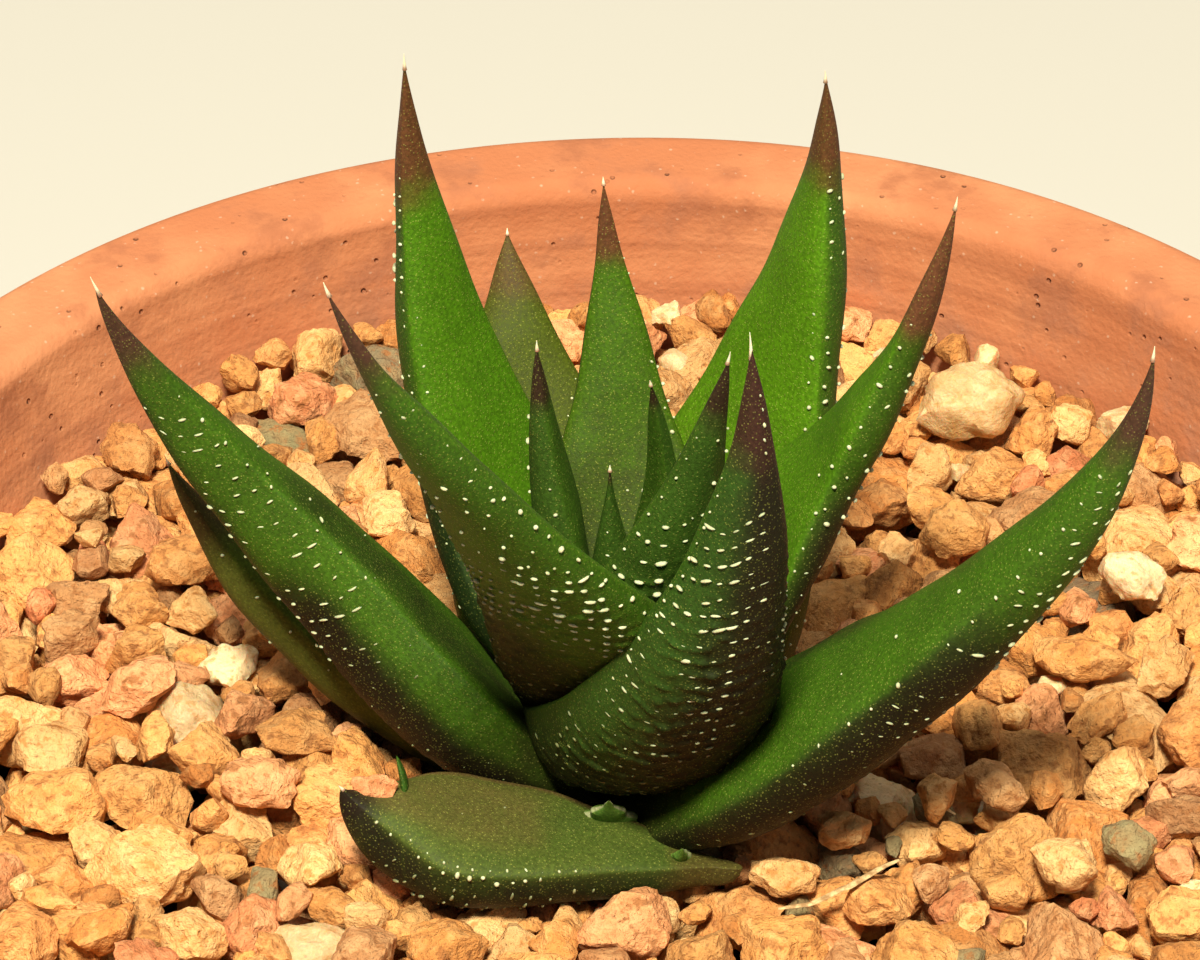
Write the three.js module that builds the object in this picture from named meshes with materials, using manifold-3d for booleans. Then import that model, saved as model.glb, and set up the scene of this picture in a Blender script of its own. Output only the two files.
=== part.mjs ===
// Potted haworthia: a rosette of pointed fleshy leaves growing in angular granite gravel, in a plain
// round terracotta pot. Millimetres, +Z up. The origin is on the pot's axis at its underside, and
// the front of the plant faces -Y.
import * as THREE from 'three';
import { ConvexGeometry } from 'three/addons/geometries/ConvexGeometry.js';
import { ParametricGeometry } from 'three/addons/geometries/ParametricGeometry.js';
import { mergeVertices } from 'three/addons/utils/BufferGeometryUtils.js';
import Module from 'manifold-3d';

const wasm = await Module();
wasm.setup();

// Clearance between solids that touch in the real plant
const GAP = 0.3;

// Pot: a tapered bowl with a plain raised band at the rim and one drainage hole
const POT_HEIGHT = 76;
const POT_BASE_RADIUS = 42;
const POT_TOP_RADIUS = 57.5;
const POT_WALL = 5;
const POT_FLOOR = 6;
const BAND_HEIGHT = 18;
const BAND_STEP = 2.5;
const EDGE_ROUND = 1.5;
const DRAIN_RADIUS = 6;
const POT_SEGMENTS = 40;

// Crock: the curved shard that keeps the mix out of the drainage hole
const CROCK_RADIUS = 24;
const CROCK_LIFT = 10.5;
const CROCK_WALL = 3;
const CROCK_LENGTH = 27;
const CROCK_CENTRE = POT_FLOOR + CROCK_LIFT - CROCK_RADIUS;

// Filling: potting mix with a top dressing of gravel
const GRAVEL_TOP = 68;
const GRAVEL_DEPTH = 9;
const GRAVEL_RINGS = 8;
const GRAVEL_BUMP = 0.45;
const MIX_TOP = GRAVEL_TOP - GRAVEL_DEPTH;

// Stem and roots, measured from the gravel's level
const STEM_LEAN = -0.13;
const STEM_SEGMENTS = 16;
const STEM_PROFILE = [[4, -15.5], [4.6, -12], [4.4, -5], [3.2, 1], [1.6, 6], [0.6, 8.2]];
const ROOT_RADIUS = 1.4;
const ROOT_TIP_RADIUS = 0.6;
const ROOT_LENGTH = 30;
const ROOT_COLLAR = [2, -12.6];
const ROOT_PARTS = [0, 0.25, 0.5, 0.75, 1];
const ROOT_SPREAD_LOSS = 0.45;
const ROOT_DROP_EASE = 1.5;
const TUBE_STEPS = 9;
const TUBE_SIDES = 8;
// heading: direction on plan in degrees; drop: how much of the length is spent going down
const ROOTS = [
  { heading: 20, drop: 0.8 },
  { heading: 88, drop: 0.55 },
  { heading: 150, drop: 0.9 },
  { heading: 215, drop: 0.6 },
  { heading: 300, drop: 0.75 },
];

// Leaf grid: sides of a section, steps of the dome behind the base, and steps from there to the tip
const LEAF_SIDES = 8;
const LEAF_CAP_STEPS = 2;
const LEAF_BLADE_STEPS = 10;
const LEAF_STEPS = LEAF_CAP_STEPS + LEAF_BLADE_STEPS;
const PATH_STEPS = 60;
const STATION_EASE = 0.9;

// Leaf section, as shares of the half width or of the full size
const BASE_WIDTH = 0.82;
const BASE_DEPTH = 0.75;
const DEPTH_TAPER = 1.7;
const TIP_SHARPNESS = 1.1;
const RIM_SHARE = 0.3;
const RIM_LIMIT = 0.9;
const CHANNEL = 0.12;
const CHANNEL_FADE = 0.3;
const CAP_SHARE = 0.4;

// Roundness of the section: 1 is an ellipse, and less is squarer
const OUTER_ROUNDNESS = 0.9;
const INNER_ROUNDNESS = 0.6;

// Leaves from the bud outwards, each from base to tip.
// heading: direction on plan in degrees, 0 to the front and 90 to the right; turn: its easing.
// climb: degrees above level; bend: its easing. roll: twist about the leaf's own line, in degrees.
// size: length, width and depth of the convex outer face; reach: the base's distance from the stem's
// line; lift: its height; belly: where the leaf is widest; taper: how full the point is; base: the
// base's share of the full width; foot: its place on plan where it isn't on the stem's line. The four
// offset leaves belong to a broken young offset at the front; one is whole and lies on the gravel.
const LEAVES = {
  leaf_bud: { heading: [-10, -23], turn: 1, climb: [78, 87], bend: 1, size: [14, 3.8, 1.8],
    reach: 0.4, lift: 8.9, roll: [0, 3], belly: 0.18, taper: 1.1 },
  leaf_inner_back: { heading: [126, 145], turn: 1.05, climb: [72, 100], bend: 0.8, size: [20.5, 4.9, 2.4],
    reach: 1.2, lift: 6.8, roll: [-2, -4], belly: 0.17, taper: 1.1 },
  leaf_inner_left: { heading: [-87, -110], turn: 1.15, climb: [74, 85], bend: 0.95, size: [23.3, 7.9, 2.5],
    reach: 1.2, lift: 7.7, roll: [5, 11], belly: 0.18, taper: 1.3 },
  leaf_inner_right: { heading: [20, 75], turn: 1.15, climb: [66, 76], bend: 1, size: [29, 10.6, 3.8],
    reach: 1.3, lift: 8.1, roll: [-1, 0], belly: 0.17, taper: 1.2 },
  leaf_back_centre: { heading: [178, 194], turn: 0.9, climb: [43, 74], bend: 1.05, size: [30.8, 12.4, 4.4],
    reach: 2, lift: 5.5, roll: [-1, -6], belly: 0.23, taper: 0.8 },
  leaf_front: { heading: [5, 43], turn: 0.8, climb: [31, 93], bend: 0.9, size: [48.6, 16, 6.5],
    reach: 1.9, lift: 4.3, roll: [1, 0], belly: 0.18, taper: 1.1 },
  leaf_front_left: { heading: [4, -66], turn: 0.7, climb: [55, 70], bend: 4.3, size: [59, 16.4, 3.3],
    reach: 3.2, lift: 4.4, roll: [5, 13], belly: 0.23, taper: 1 },
  leaf_back_right: { heading: [143, 117], turn: 1, climb: [40, 91], bend: 0.8, size: [43.9, 15.2, 4.4],
    reach: 2.2, lift: 3.2, roll: [5, -12], belly: 0.21, taper: 1.15 },
  leaf_right: { heading: [103, 79], turn: 1, climb: [51, 80], bend: 1.55, size: [41.2, 15, 3.1],
    reach: 1.7, lift: 4.6, roll: [19, -24], belly: 0.22, taper: 0.8 },
  leaf_back_left: { heading: [-121, -143], turn: 0.95, climb: [48, 86], bend: 0.85, size: [45.4, 12.6, 4.4],
    reach: 2, lift: 3.3, roll: [-1, -8], belly: 0.24, taper: 0.9 },
  leaf_back_low: { heading: [-154, -176], turn: 1.05, climb: [16, 60], bend: 1, size: [34, 15.5, 5],
    reach: 3, lift: 0.3, roll: [0, -4], belly: 0.25, taper: 1.6 },
  leaf_hidden_back: { heading: [168, 170], turn: 1, climb: [12, 55], bend: 1, size: [20, 12, 4.5],
    reach: 3, lift: 0.3, roll: [0, 0], belly: 0.22, taper: 1.2 },
  leaf_hidden_right: { heading: [131, 128], turn: 1, climb: [15, 60], bend: 1, size: [17, 11, 4.2],
    reach: 3, lift: 0.5, roll: [0, 0], belly: 0.22, taper: 1.2 },
  leaf_left_low: { heading: [-103, -97], turn: 1, climb: [10, 65], bend: 1.2, size: [34.8, 12.2, 5.2],
    reach: 2.5, lift: -0.8, roll: [0, 0], belly: 0.19, taper: 1.25 },
  offset_leaf_left: { heading: [4, 0], turn: 1, climb: [52, 60], bend: 1, size: [6.2, 3.8, 0.9],
    reach: 0, lift: 0.9, roll: [0, 0], belly: 0.4, taper: 1.2, foot: [-1.9, -11.6], finish: 'old_leaf' },
  offset_leaf_middle: { heading: [-100, -84], turn: 1, climb: [40, 52], bend: 1, size: [4.2, 2.8, 0.8],
    reach: 0, lift: 0.2, roll: [0, 0], belly: 0.3, taper: 1.2, foot: [1.7, -12.9], finish: 'old_leaf' },
  offset_leaf_right: { heading: [0, 10], turn: 1, climb: [48, 56], bend: 1, size: [3.6, 1.8, 0.8],
    reach: 0, lift: 1.2, roll: [0, 0], belly: 0.3, taper: 1.2, foot: [2.7, -15.2], finish: 'old_leaf' },
  leaf_right_outer: { heading: [26, 81], turn: 0.3, climb: [47, 85], bend: 3.75, size: [54, 18, 4.7],
    reach: 6, lift: -0.8, roll: [9, -9], belly: 0.27, taper: 0.8 },
  leaf_left_outer: { heading: [-113, -81], turn: 1.27, climb: [46, 68.5], bend: 5.3, size: [48.5, 12.6, 6.6],
    reach: 0, lift: -0.4, roll: [40, -6], belly: 0.26, taper: 0.65, foot: [-3.3, -6.65], base: 0.44 },
  offset_leaf_long: { heading: [-96.4, -75.8], turn: 2.56, climb: [6.1, 55.3], bend: 5.11,
    size: [25.1, 10.8, 4.9], reach: 0, lift: 1.84, roll: [7.2, -0.2], belly: 0.71, taper: 0.9,
    foot: [4.95, -16.33], base: 0.25, finish: 'old_leaf' },
};

// The offset's runner: the short shoot under the gravel that joins it to the stem.
const OFFSET_RUNNER = [[0.4, -4.8, -6], [0.8, -7.6, -6.4], [1.2, -11.4, -5], [1.5, -13.6, -1.2]];
const RUNNER_RADIUS = 1.5;

// The largest stones of the dressing: place on plan, height of the middle, half sizes, turn and shape
const STONES = {
  stone_beside_left_leaf: { at: [-20.6, 2.3, 1.6], half: [1.3, 1.6, 2], turn: 10, seed: 3 },
  stone_rose_left: { at: [-24.6, -7.6, 1], half: [3, 2.3, 1.7], turn: -12, seed: 5 },
  stone_cream_front: { at: [9.6, -16.6, 1], half: [2.5, 1.6, 1.3], turn: -8, seed: 8 },
  stone_cream_right: { at: [13.4, -12.6, 1.2], half: [2, 1.6, 1.4], turn: 15, seed: 13 },
  stone_beside_right_leaf: { at: [19.5, -9.4, 1.4], half: [1.7, 1.5, 1.8], turn: 40, seed: 21 },
  stone_brown_long: { at: [23.4, -8.2, 1.4], half: [2.9, 1.6, 1.6], turn: -48, seed: 34 },
  stone_big_right: { at: [22.4, 18.7, 1.8], half: [2.7, 2.4, 2], turn: 20, seed: 55 },
  stone_quartz_right: { at: [34, 13.8, 1.6], half: [2.7, 2.1, 1.8], turn: -15, seed: 89 },
  stone_flat_orange: { at: [30.4, 5.4, 1.2], half: [3.6, 2.1, 1.5], turn: -10, seed: 144 },
  stone_quartz_back: { at: [24.4, 33.3, 1.8], half: [3.9, 3.2, 2.8], turn: 5, seed: 233 },
  stone_grey_green: { at: [31.8, -13.1, 0.8], half: [1.8, 2.2, 1.4], turn: 25, seed: 377 },
  stone_big_front: { at: [27.6, -15.4, 1], half: [2.5, 2.1, 1.7], turn: -30, seed: 610 },
  stone_big_left: { at: [-31, 15.7, 1.2], half: [3.2, 2.4, 1.8], turn: 12, seed: 987 },
};
const STONE_CORNERS = 15;
const STONE_SPIRAL = 2.4;
const STONE_BULGE = [0.82, 1.12];

// Colours
const FINISH = {
  terracotta: { color: 0xb5623c, roughness: 0.85 },
  shard: { color: 0xa85a38, roughness: 0.9 },
  mix: { color: 0x3b2a1e, roughness: 1 },
  gravel: { color: 0xd19a5b, roughness: 0.9 },
  leaf: { color: 0x3f7a1c, roughness: 0.5 },
  old_leaf: { color: 0x5a6a2a, roughness: 0.6 },
  stem: { color: 0x8a7a4a, roughness: 0.8 },
  root: { color: 0xcdb88a, roughness: 0.8 },
};

const radians = THREE.MathUtils.degToRad;
const { lerp } = THREE.MathUtils;

// Position-only copy of a geometry with its shared corners merged and its faces turned outwards.
function toSolid(geometry) {
  const plain = new THREE.BufferGeometry();
  plain.setAttribute('position', geometry.getAttribute('position'));
  plain.setIndex(geometry.getIndex());
  const merged = mergeVertices(plain, 1e-4);
  const position = merged.getAttribute('position');
  const corners = merged.getIndex().array;
  const faces = [];
  const points = [0, 1, 2].map(() => new THREE.Vector3());
  let volume = 0;
  for (let i = 0; i < corners.length; i += 3) {
    const [a, b, c] = corners.slice(i, i + 3);
    if (a === b || b === c || c === a) continue;
    faces.push([a, b, c]);
    [a, b, c].forEach((corner, k) => points[k].fromBufferAttribute(position, corner));
    volume += points[0].dot(points[1].clone().cross(points[2]));
  }
  const triVerts = new Uint32Array(faces.map((face) => (volume < 0 ? face.reverse() : face)).flat());
  const vertProperties = new Float32Array(position.array);
  return new wasm.Manifold(new wasm.Mesh({ numProp: 3, vertProperties, triVerts }));
}

// The largest connected body of a solid, so that no loose sliver is left after a cut.
function largestBody(solid) {
  const bodies = solid.decompose();
  return bodies.reduce((best, body) => (body.volume() > best.volume() ? body : best));
}

function cutAll(solid, cutters) {
  return largestBody(cutters.reduce((left, cutter) => left.subtract(cutter), solid));
}

function toGeometry(solid) {
  const mesh = solid.getMesh();
  const geometry = new THREE.BufferGeometry();
  geometry.setAttribute('position', new THREE.BufferAttribute(mesh.vertProperties, 3));
  geometry.setIndex(new THREE.BufferAttribute(mesh.triVerts, 1));
  geometry.computeVertexNormals();
  return geometry;
}

function addMesh(group, name, solid, finish) {
  const material = new THREE.MeshStandardMaterial({ ...FINISH[finish], metalness: 0 });
  const mesh = new THREE.Mesh(toGeometry(solid), material);
  mesh.name = name;
  group.add(mesh);
}

// A shape turned about the vertical axis from [radius, height] points.
function turned(points, segments) {
  const outline = points.map(([radius, height]) => new THREE.Vector2(radius, height));
  return new THREE.LatheGeometry(outline, segments).rotateX(Math.PI / 2);
}

// A repeatable value from 0 to 1 for a whole number.
function scatter(n) {
  const value = Math.sin(n * 12.9898) * 43758.5453;
  return value - Math.floor(value);
}

// ---- Pot ----

function outerRadius(z) {
  return POT_BASE_RADIUS + (POT_TOP_RADIUS - POT_BASE_RADIUS) * (z / POT_HEIGHT);
}

function innerRadius(z) {
  return outerRadius(z) - POT_WALL;
}

// Points of a quarter-round edge from one angle to another, in degrees.
function roundEdge(radius, height, from, to) {
  return [0, 0.5, 1].map((part) => {
    const angle = radians(from + (to - from) * part);
    return [radius + EDGE_ROUND * Math.cos(angle), height + EDGE_ROUND * Math.sin(angle)];
  });
}

function potSolid() {
  const bandFoot = POT_HEIGHT - BAND_HEIGHT;
  const profile = [
    [DRAIN_RADIUS, 0],
    ...roundEdge(POT_BASE_RADIUS - EDGE_ROUND, EDGE_ROUND, -90, 0),
    [outerRadius(bandFoot), bandFoot],
    ...roundEdge(outerRadius(bandFoot) + BAND_STEP - EDGE_ROUND, bandFoot + EDGE_ROUND, -90, 0),
    ...roundEdge(POT_TOP_RADIUS + BAND_STEP - EDGE_ROUND, POT_HEIGHT - EDGE_ROUND, 0, 90),
    ...roundEdge(innerRadius(POT_HEIGHT) + EDGE_ROUND, POT_HEIGHT - EDGE_ROUND, 90, 180),
    [innerRadius(POT_FLOOR), POT_FLOOR],
    [DRAIN_RADIUS, POT_FLOOR],
    [DRAIN_RADIUS, 0],
  ];
  return toSolid(turned(profile, POT_SEGMENTS));
}

function mixSolid() {
  const low = POT_FLOOR + GAP;
  const side = [low, MIX_TOP].map((height) => [innerRadius(height) - GAP, height]);
  return toSolid(turned([[0, low], ...side, [0, MIX_TOP]], POT_SEGMENTS));
}

// ---- Crock ----

// A level bar along Y with the crock's arc at its top, from an outline about the arc's centre.
function crockBar(outline, length) {
  const settings = { depth: length, bevelEnabled: false, curveSegments: 10 };
  const bar = new THREE.ExtrudeGeometry(outline, settings).rotateX(Math.PI / 2);
  return toSolid(bar.translate(0, length / 2, CROCK_CENTRE));
}

// An arched strip that stands on its two long edges.
function crockSolid() {
  const inside = CROCK_RADIUS - CROCK_WALL;
  const half = Math.acos((POT_FLOOR + GAP - CROCK_CENTRE) / inside);
  const outline = new THREE.Shape();
  outline.absarc(0, 0, CROCK_RADIUS, Math.PI / 2 - half, Math.PI / 2 + half, false);
  outline.absarc(0, 0, inside, Math.PI / 2 + half, Math.PI / 2 - half, true);
  return crockBar(outline, CROCK_LENGTH);
}

// The crock with its clearance and the hollow under it.
function crockSpace() {
  const outline = new THREE.Shape().absarc(0, 0, CROCK_RADIUS + GAP, 0, Math.PI, false);
  return crockBar(outline, CROCK_LENGTH + 2 * GAP);
}

// ---- Leaves ----

// Along the leaf, across it and out of its inner face, at a share of the length.
function leafAxes(leaf, share) {
  const heading = radians(lerp(...leaf.heading, share ** leaf.turn));
  const climb = radians(lerp(...leaf.climb, share ** leaf.bend));
  const roll = radians(lerp(...leaf.roll, share));
  const level = new THREE.Vector3(Math.sin(heading), -Math.cos(heading), 0);
  const along = level.multiplyScalar(Math.cos(climb)).setZ(Math.sin(climb));
  const across = new THREE.Vector3(Math.cos(heading), Math.sin(heading), 0).applyAxisAngle(along, roll);
  return { along, across, inward: new THREE.Vector3().crossVectors(along, across) };
}

// The leaf's middle line: small steps, each along the direction of growth at its own middle.
function leafPath(leaf) {
  const heading = radians(leaf.heading[0]);
  const [x, y] = leaf.foot ?? [STEM_LEAN * leaf.lift, 0];
  const out = [leaf.reach * Math.sin(heading), -leaf.reach * Math.cos(heading)];
  const path = [new THREE.Vector3(x + out[0], y + out[1], leaf.lift)];
  for (let step = 0; step < PATH_STEPS; step += 1) {
    const { along } = leafAxes(leaf, (step + 0.5) / PATH_STEPS);
    path.push(path[step].clone().addScaledVector(along, leaf.size[0] / PATH_STEPS));
  }
  return path;
}

// Swells from a base value to 1 at the belly, then falls to 0 at the tip.
function swell(share, belly, base, taper, sharpness) {
  if (share < belly) return base + (1 - base) * Math.sin((Math.PI / 2) * (share / belly));
  return Math.max(0, 1 - ((share - belly) / (1 - belly)) ** taper) ** sharpness;
}

// Half width, outer depth, inner rim and channel of the section at a share of the length.
function leafSection(leaf, share, grow) {
  const [, width, depth] = leaf.size;
  const half = (width / 2) * swell(share, leaf.belly, leaf.base ?? BASE_WIDTH, leaf.taper, TIP_SHARPNESS);
  return {
    half: half + grow,
    depth: depth * swell(share, leaf.belly, BASE_DEPTH, DEPTH_TAPER, 1) + grow,
    rim: Math.min(RIM_SHARE * half, RIM_LIMIT) + grow,
    channel: half * (CHANNEL - CHANNEL_FADE * share),
  };
}

// A point of the section, across and inward: nearly flat inside, with a channel, and rounded outside.
function sectionPoint({ half, depth, rim, channel }, angle) {
  const side = Math.cos(angle);
  const face = Math.sin(angle);
  const width = half * Math.sign(side) * Math.abs(side) ** OUTER_ROUNDNESS;
  if (face > 0) return [width, rim * face ** INNER_ROUNDNESS - channel * face ** 2];
  return [width, -depth * Math.abs(face) ** OUTER_ROUNDNESS];
}

// Where a section stands, which way it faces and how large it is. The first ones close the base with
// a dome and the last one is the tip. grow thickens the leaf all round for a clearance.
function leafStation(leaf, path, station, grow) {
  const capPart = Math.min(1, station / LEAF_CAP_STEPS);
  const share = Math.max(0, (station - LEAF_CAP_STEPS) / LEAF_BLADE_STEPS) ** STATION_EASE;
  const atTip = station === LEAF_STEPS;
  const place = share * PATH_STEPS;
  const low = Math.min(PATH_STEPS - 1, Math.floor(place));
  const axes = leafAxes(leaf, share);
  const capLength = CAP_SHARE * leaf.size[2] + grow;
  const centre = new THREE.Vector3().lerpVectors(path[low], path[low + 1], place - low);
  centre.addScaledVector(axes.along, atTip ? grow : -capLength * (1 - capPart));
  const scale = atTip ? 0 : Math.sqrt(1 - (1 - capPart) ** 2);
  return { ...axes, centre, scale, section: leafSection(leaf, share, grow) };
}

function leafSolid(leaf, grow = 0) {
  const path = leafPath(leaf);
  const stations = Array.from({ length: LEAF_STEPS + 1 }, (_, i) => leafStation(leaf, path, i, grow));
  const surface = (around, lengthwise, target) => {
    const { centre, across, inward, scale, section } = stations[Math.round(lengthwise * LEAF_STEPS)];
    const [width, height] = sectionPoint(section, (around % 1) * 2 * Math.PI);
    target.copy(centre).addScaledVector(across, scale * width).addScaledVector(inward, scale * height);
  };
  return toSolid(new ParametricGeometry(surface, LEAF_SIDES, LEAF_STEPS));
}

// ---- Stem, roots and runner ----

// The stem is turned upright, then sheared so that it leans to the left as it rises.
function stemSolid(grow = 0) {
  const last = STEM_PROFILE.length - 1;
  const endShift = (i) => (i === last ? grow : 0) - (i === 0 ? grow : 0);
  const side = STEM_PROFILE.map(([radius, height], i) => [radius + grow, height + endShift(i)]);
  const upright = turned([[0, side[0][1]], ...side, [0, side[last][1]]], STEM_SEGMENTS);
  return toSolid(upright.applyMatrix4(new THREE.Matrix4().makeShear(0, 0, 0, 0, STEM_LEAN, 0)));
}

// A round tube along a curve, with pointed ends and a radius that eases from one value to another.
function tubeSolid(points, startRadius, endRadius, grow) {
  const curve = new THREE.CatmullRomCurve3(points);
  const surface = (around, lengthwise, target) => {
    const along = curve.getTangentAt(lengthwise);
    const side = new THREE.Vector3(-along.y, along.x, 0).normalize();
    const other = new THREE.Vector3().crossVectors(along, side);
    const atEnd = lengthwise === 0 || lengthwise === 1;
    const radius = atEnd ? 0 : lerp(startRadius, endRadius, lengthwise) + grow;
    const angle = (around % 1) * 2 * Math.PI;
    target.copy(curve.getPointAt(lengthwise));
    if (atEnd) target.addScaledVector(along, lengthwise === 0 ? -grow : grow);
    target.addScaledVector(side, radius * Math.cos(angle));
    target.addScaledVector(other, radius * Math.sin(angle));
  };
  return toSolid(new ParametricGeometry(surface, TUBE_SIDES, TUBE_STEPS));
}

// A root that leaves the stem sideways and bends down.
function rootSolid(root, grow = 0) {
  const heading = radians(root.heading);
  const [collarRadius, collarHeight] = ROOT_COLLAR;
  const points = ROOT_PARTS.map((part) => {
    const reach = collarRadius + ROOT_LENGTH * (1 - ROOT_SPREAD_LOSS * root.drop) * part;
    const depth = ROOT_LENGTH * root.drop * part ** ROOT_DROP_EASE;
    return new THREE.Vector3(reach * Math.sin(heading), -reach * Math.cos(heading), collarHeight - depth);
  });
  return tubeSolid(points, ROOT_RADIUS, ROOT_TIP_RADIUS, grow);
}

function runnerSolid(grow = 0) {
  const points = OFFSET_RUNNER.map((point) => new THREE.Vector3(...point));
  return tubeSolid(points, RUNNER_RADIUS, RUNNER_RADIUS, grow);
}

// ---- Gravel ----

// A broken stone: the hull of corners scattered near a squashed ball.
function stoneSolid(stone, grow = 0) {
  const corners = Array.from({ length: STONE_CORNERS }, (_, i) => {
    const height = 1 - (2 * (i + 0.5)) / STONE_CORNERS;
    const angle = i * STONE_SPIRAL + scatter(stone.seed + i);
    const flat = Math.sqrt(1 - height * height);
    const bulge = lerp(...STONE_BULGE, scatter(stone.seed * 3 + i));
    const direction = new THREE.Vector3(flat * Math.cos(angle), flat * Math.sin(angle), height);
    return direction.clone().multiplyScalar(bulge).multiply(new THREE.Vector3(...stone.half))
      .addScaledVector(direction, grow);
  });
  const hull = new ConvexGeometry(corners);
  return toSolid(hull.rotateZ(radians(stone.turn)).translate(...stone.at));
}

// Low waves that stand for the uneven top of the gravel.
function bump(x, y) {
  return GRAVEL_BUMP * (Math.sin(1.3 * x + 0.7 * y) + Math.sin(0.5 * x - 1.1 * y + 2));
}

// A flat-bottomed disc whose top follows the waves.
function gravelBed() {
  const edge = innerRadius(GRAVEL_TOP) - GAP;
  const rings = Array.from({ length: GRAVEL_RINGS }, (_, i) => [edge * (1 - i / GRAVEL_RINGS), 0]);
  const low = GAP - GRAVEL_DEPTH;
  const floorEdge = innerRadius(GRAVEL_TOP + low) - GAP;
  const geometry = turned([[0, low], [floorEdge, low], ...rings, [0, 0]], POT_SEGMENTS);
  const position = geometry.getAttribute('position');
  for (let i = 0; i < position.count; i += 1) {
    const onTop = position.getZ(i) > low / 2;
    if (onTop) position.setZ(i, bump(position.getX(i), position.getY(i)));
  }
  return toSolid(geometry);
}

// ---- Assembly ----

// Cuts each solid clear of those before it, so that outer leaves clasp the inner ones. It also gives
// back every solid with its clearance, to cut what comes next.
function clasp(rows, build, first) {
  const kept = [];
  const cutters = [...first];
  Object.entries(rows).forEach(([name, row]) => {
    kept.push({ name, solid: cutAll(build(row), cutters) });
    cutters.push(build(row, GAP));
  });
  return { kept, cutters };
}

function buildPlant() {
  const plant = new THREE.Group();
  plant.position.z = GRAVEL_TOP;
  const leaves = clasp(LEAVES, leafSolid, [stemSolid(GAP)]);
  const stones = clasp(STONES, stoneSolid, [...leaves.cutters, runnerSolid(GAP)]);
  addMesh(plant, 'stem', stemSolid(), 'stem');
  leaves.kept.forEach(({ name, solid }) => addMesh(plant, name, solid, LEAVES[name].finish ?? 'leaf'));
  addMesh(plant, 'offset_runner', cutAll(runnerSolid(), leaves.cutters), 'stem');
  stones.kept.forEach(({ name, solid }) => addMesh(plant, name, solid, 'gravel'));
  addMesh(plant, 'gravel_bed', cutAll(gravelBed(), stones.cutters), 'gravel');
  ROOTS.forEach((root, i) => {
    addMesh(plant, `root_${i + 1}`, cutAll(rootSolid(root), [stemSolid(GAP)]), 'root');
  });
  return plant;
}

function buildPot() {
  const pot = new THREE.Group();
  const spaces = [stemSolid(GAP), ...ROOTS.map((root) => rootSolid(root, GAP))];
  const raised = spaces.map((space) => space.translate([0, 0, GRAVEL_TOP]));
  addMesh(pot, 'pot', potSolid(), 'terracotta');
  addMesh(pot, 'drainage_crock', crockSolid(), 'shard');
  addMesh(pot, 'potting_mix', cutAll(mixSolid(), [crockSpace(), ...raised]), 'mix');
  return pot;
}

const haworthia = new THREE.Group();
haworthia.add(buildPot(), buildPlant());

export default haworthia;
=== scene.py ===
"""Looks of the potted haworthia: a rosette of warty leaves in granite gravel, in a plain clay pot.

Sizes are millimetres in the plant's own space, whose origin is on the pot's axis at the gravel's
level, with +Z up and -Y to the front. `to_frame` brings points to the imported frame, in metres.
"""

import logging
import math
from dataclasses import dataclass, field
from enum import Enum
from typing import Any

import bmesh
import bpy
import numpy as np
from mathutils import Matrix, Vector


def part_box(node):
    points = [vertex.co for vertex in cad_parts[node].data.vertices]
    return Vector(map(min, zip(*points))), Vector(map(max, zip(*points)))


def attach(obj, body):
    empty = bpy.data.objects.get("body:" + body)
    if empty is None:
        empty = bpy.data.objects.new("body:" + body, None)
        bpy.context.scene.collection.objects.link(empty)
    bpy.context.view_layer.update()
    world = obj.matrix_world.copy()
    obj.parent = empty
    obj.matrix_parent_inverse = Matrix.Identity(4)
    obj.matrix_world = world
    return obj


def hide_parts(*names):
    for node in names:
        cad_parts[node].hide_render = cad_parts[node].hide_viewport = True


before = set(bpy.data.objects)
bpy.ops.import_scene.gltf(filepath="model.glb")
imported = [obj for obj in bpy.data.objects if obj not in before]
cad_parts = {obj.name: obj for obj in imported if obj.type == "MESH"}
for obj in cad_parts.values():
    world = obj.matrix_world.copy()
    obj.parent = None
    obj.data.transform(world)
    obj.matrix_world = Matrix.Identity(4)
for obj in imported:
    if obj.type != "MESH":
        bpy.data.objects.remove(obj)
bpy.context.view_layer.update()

log = logging.getLogger("haworthia")
Array = np.ndarray

MM = 0.001
GRAVEL_LEVEL = 68.0
BODY = "root"
MAP_NAME = "OFBake"
HALF_TURN = math.pi
TURN = 2 * math.pi


# ---------------------------------------------------------------- numbers


def to_frame(points: Array) -> Array:
    """Moves points from the plant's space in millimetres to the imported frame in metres.

    Args:
        points: An array whose last axis is x, y, z.

    Returns:
        The same points, raised by the gravel's level and scaled to metres.
    """
    return (points + np.array([0.0, 0.0, GRAVEL_LEVEL])) * MM


def unit(vectors: Array) -> Array:
    """Scales vectors to length 1, over the last axis."""
    return vectors / np.maximum(np.linalg.norm(vectors, axis=-1, keepdims=True), 1e-12)


def ease(low: float, high: float, value: Array) -> Array:
    """A smooth step: 0 at low, 1 at high and t * t * (3 - 2 t) between them.

    Args:
        low: Where the step starts. It may be above high, and the step then falls.
        high: Where the step ends.
        value: The numbers to ease.

    Returns:
        Numbers from 0 to 1.
    """
    part = np.clip((value - low) / (high - low), 0.0, 1.0)
    return part * part * (3 - 2 * part)


def ripple(points: Array, wavelength: float, seed: int, waves: int = 6) -> Array:
    """Smooth noise: the mean of sine waves that run in random directions through space.

    Args:
        points: Places, with x, y, z on the last axis.
        wavelength: The waves' length, give or take a third, in the unit of the points.
        seed: Chooses the waves.
        waves: How many waves are summed.

    Returns:
        One number for each point, mostly from -1 to 1.
    """
    rng = np.random.default_rng(seed)
    ways = unit(rng.normal(size=(waves, 3)))
    counts = TURN / (wavelength * rng.uniform(0.7, 1.4, waves))
    starts = rng.uniform(0, TURN, waves)
    return np.sin((points @ ways.T) * counts + starts).sum(-1) * math.sqrt(2 / waves)


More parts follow.
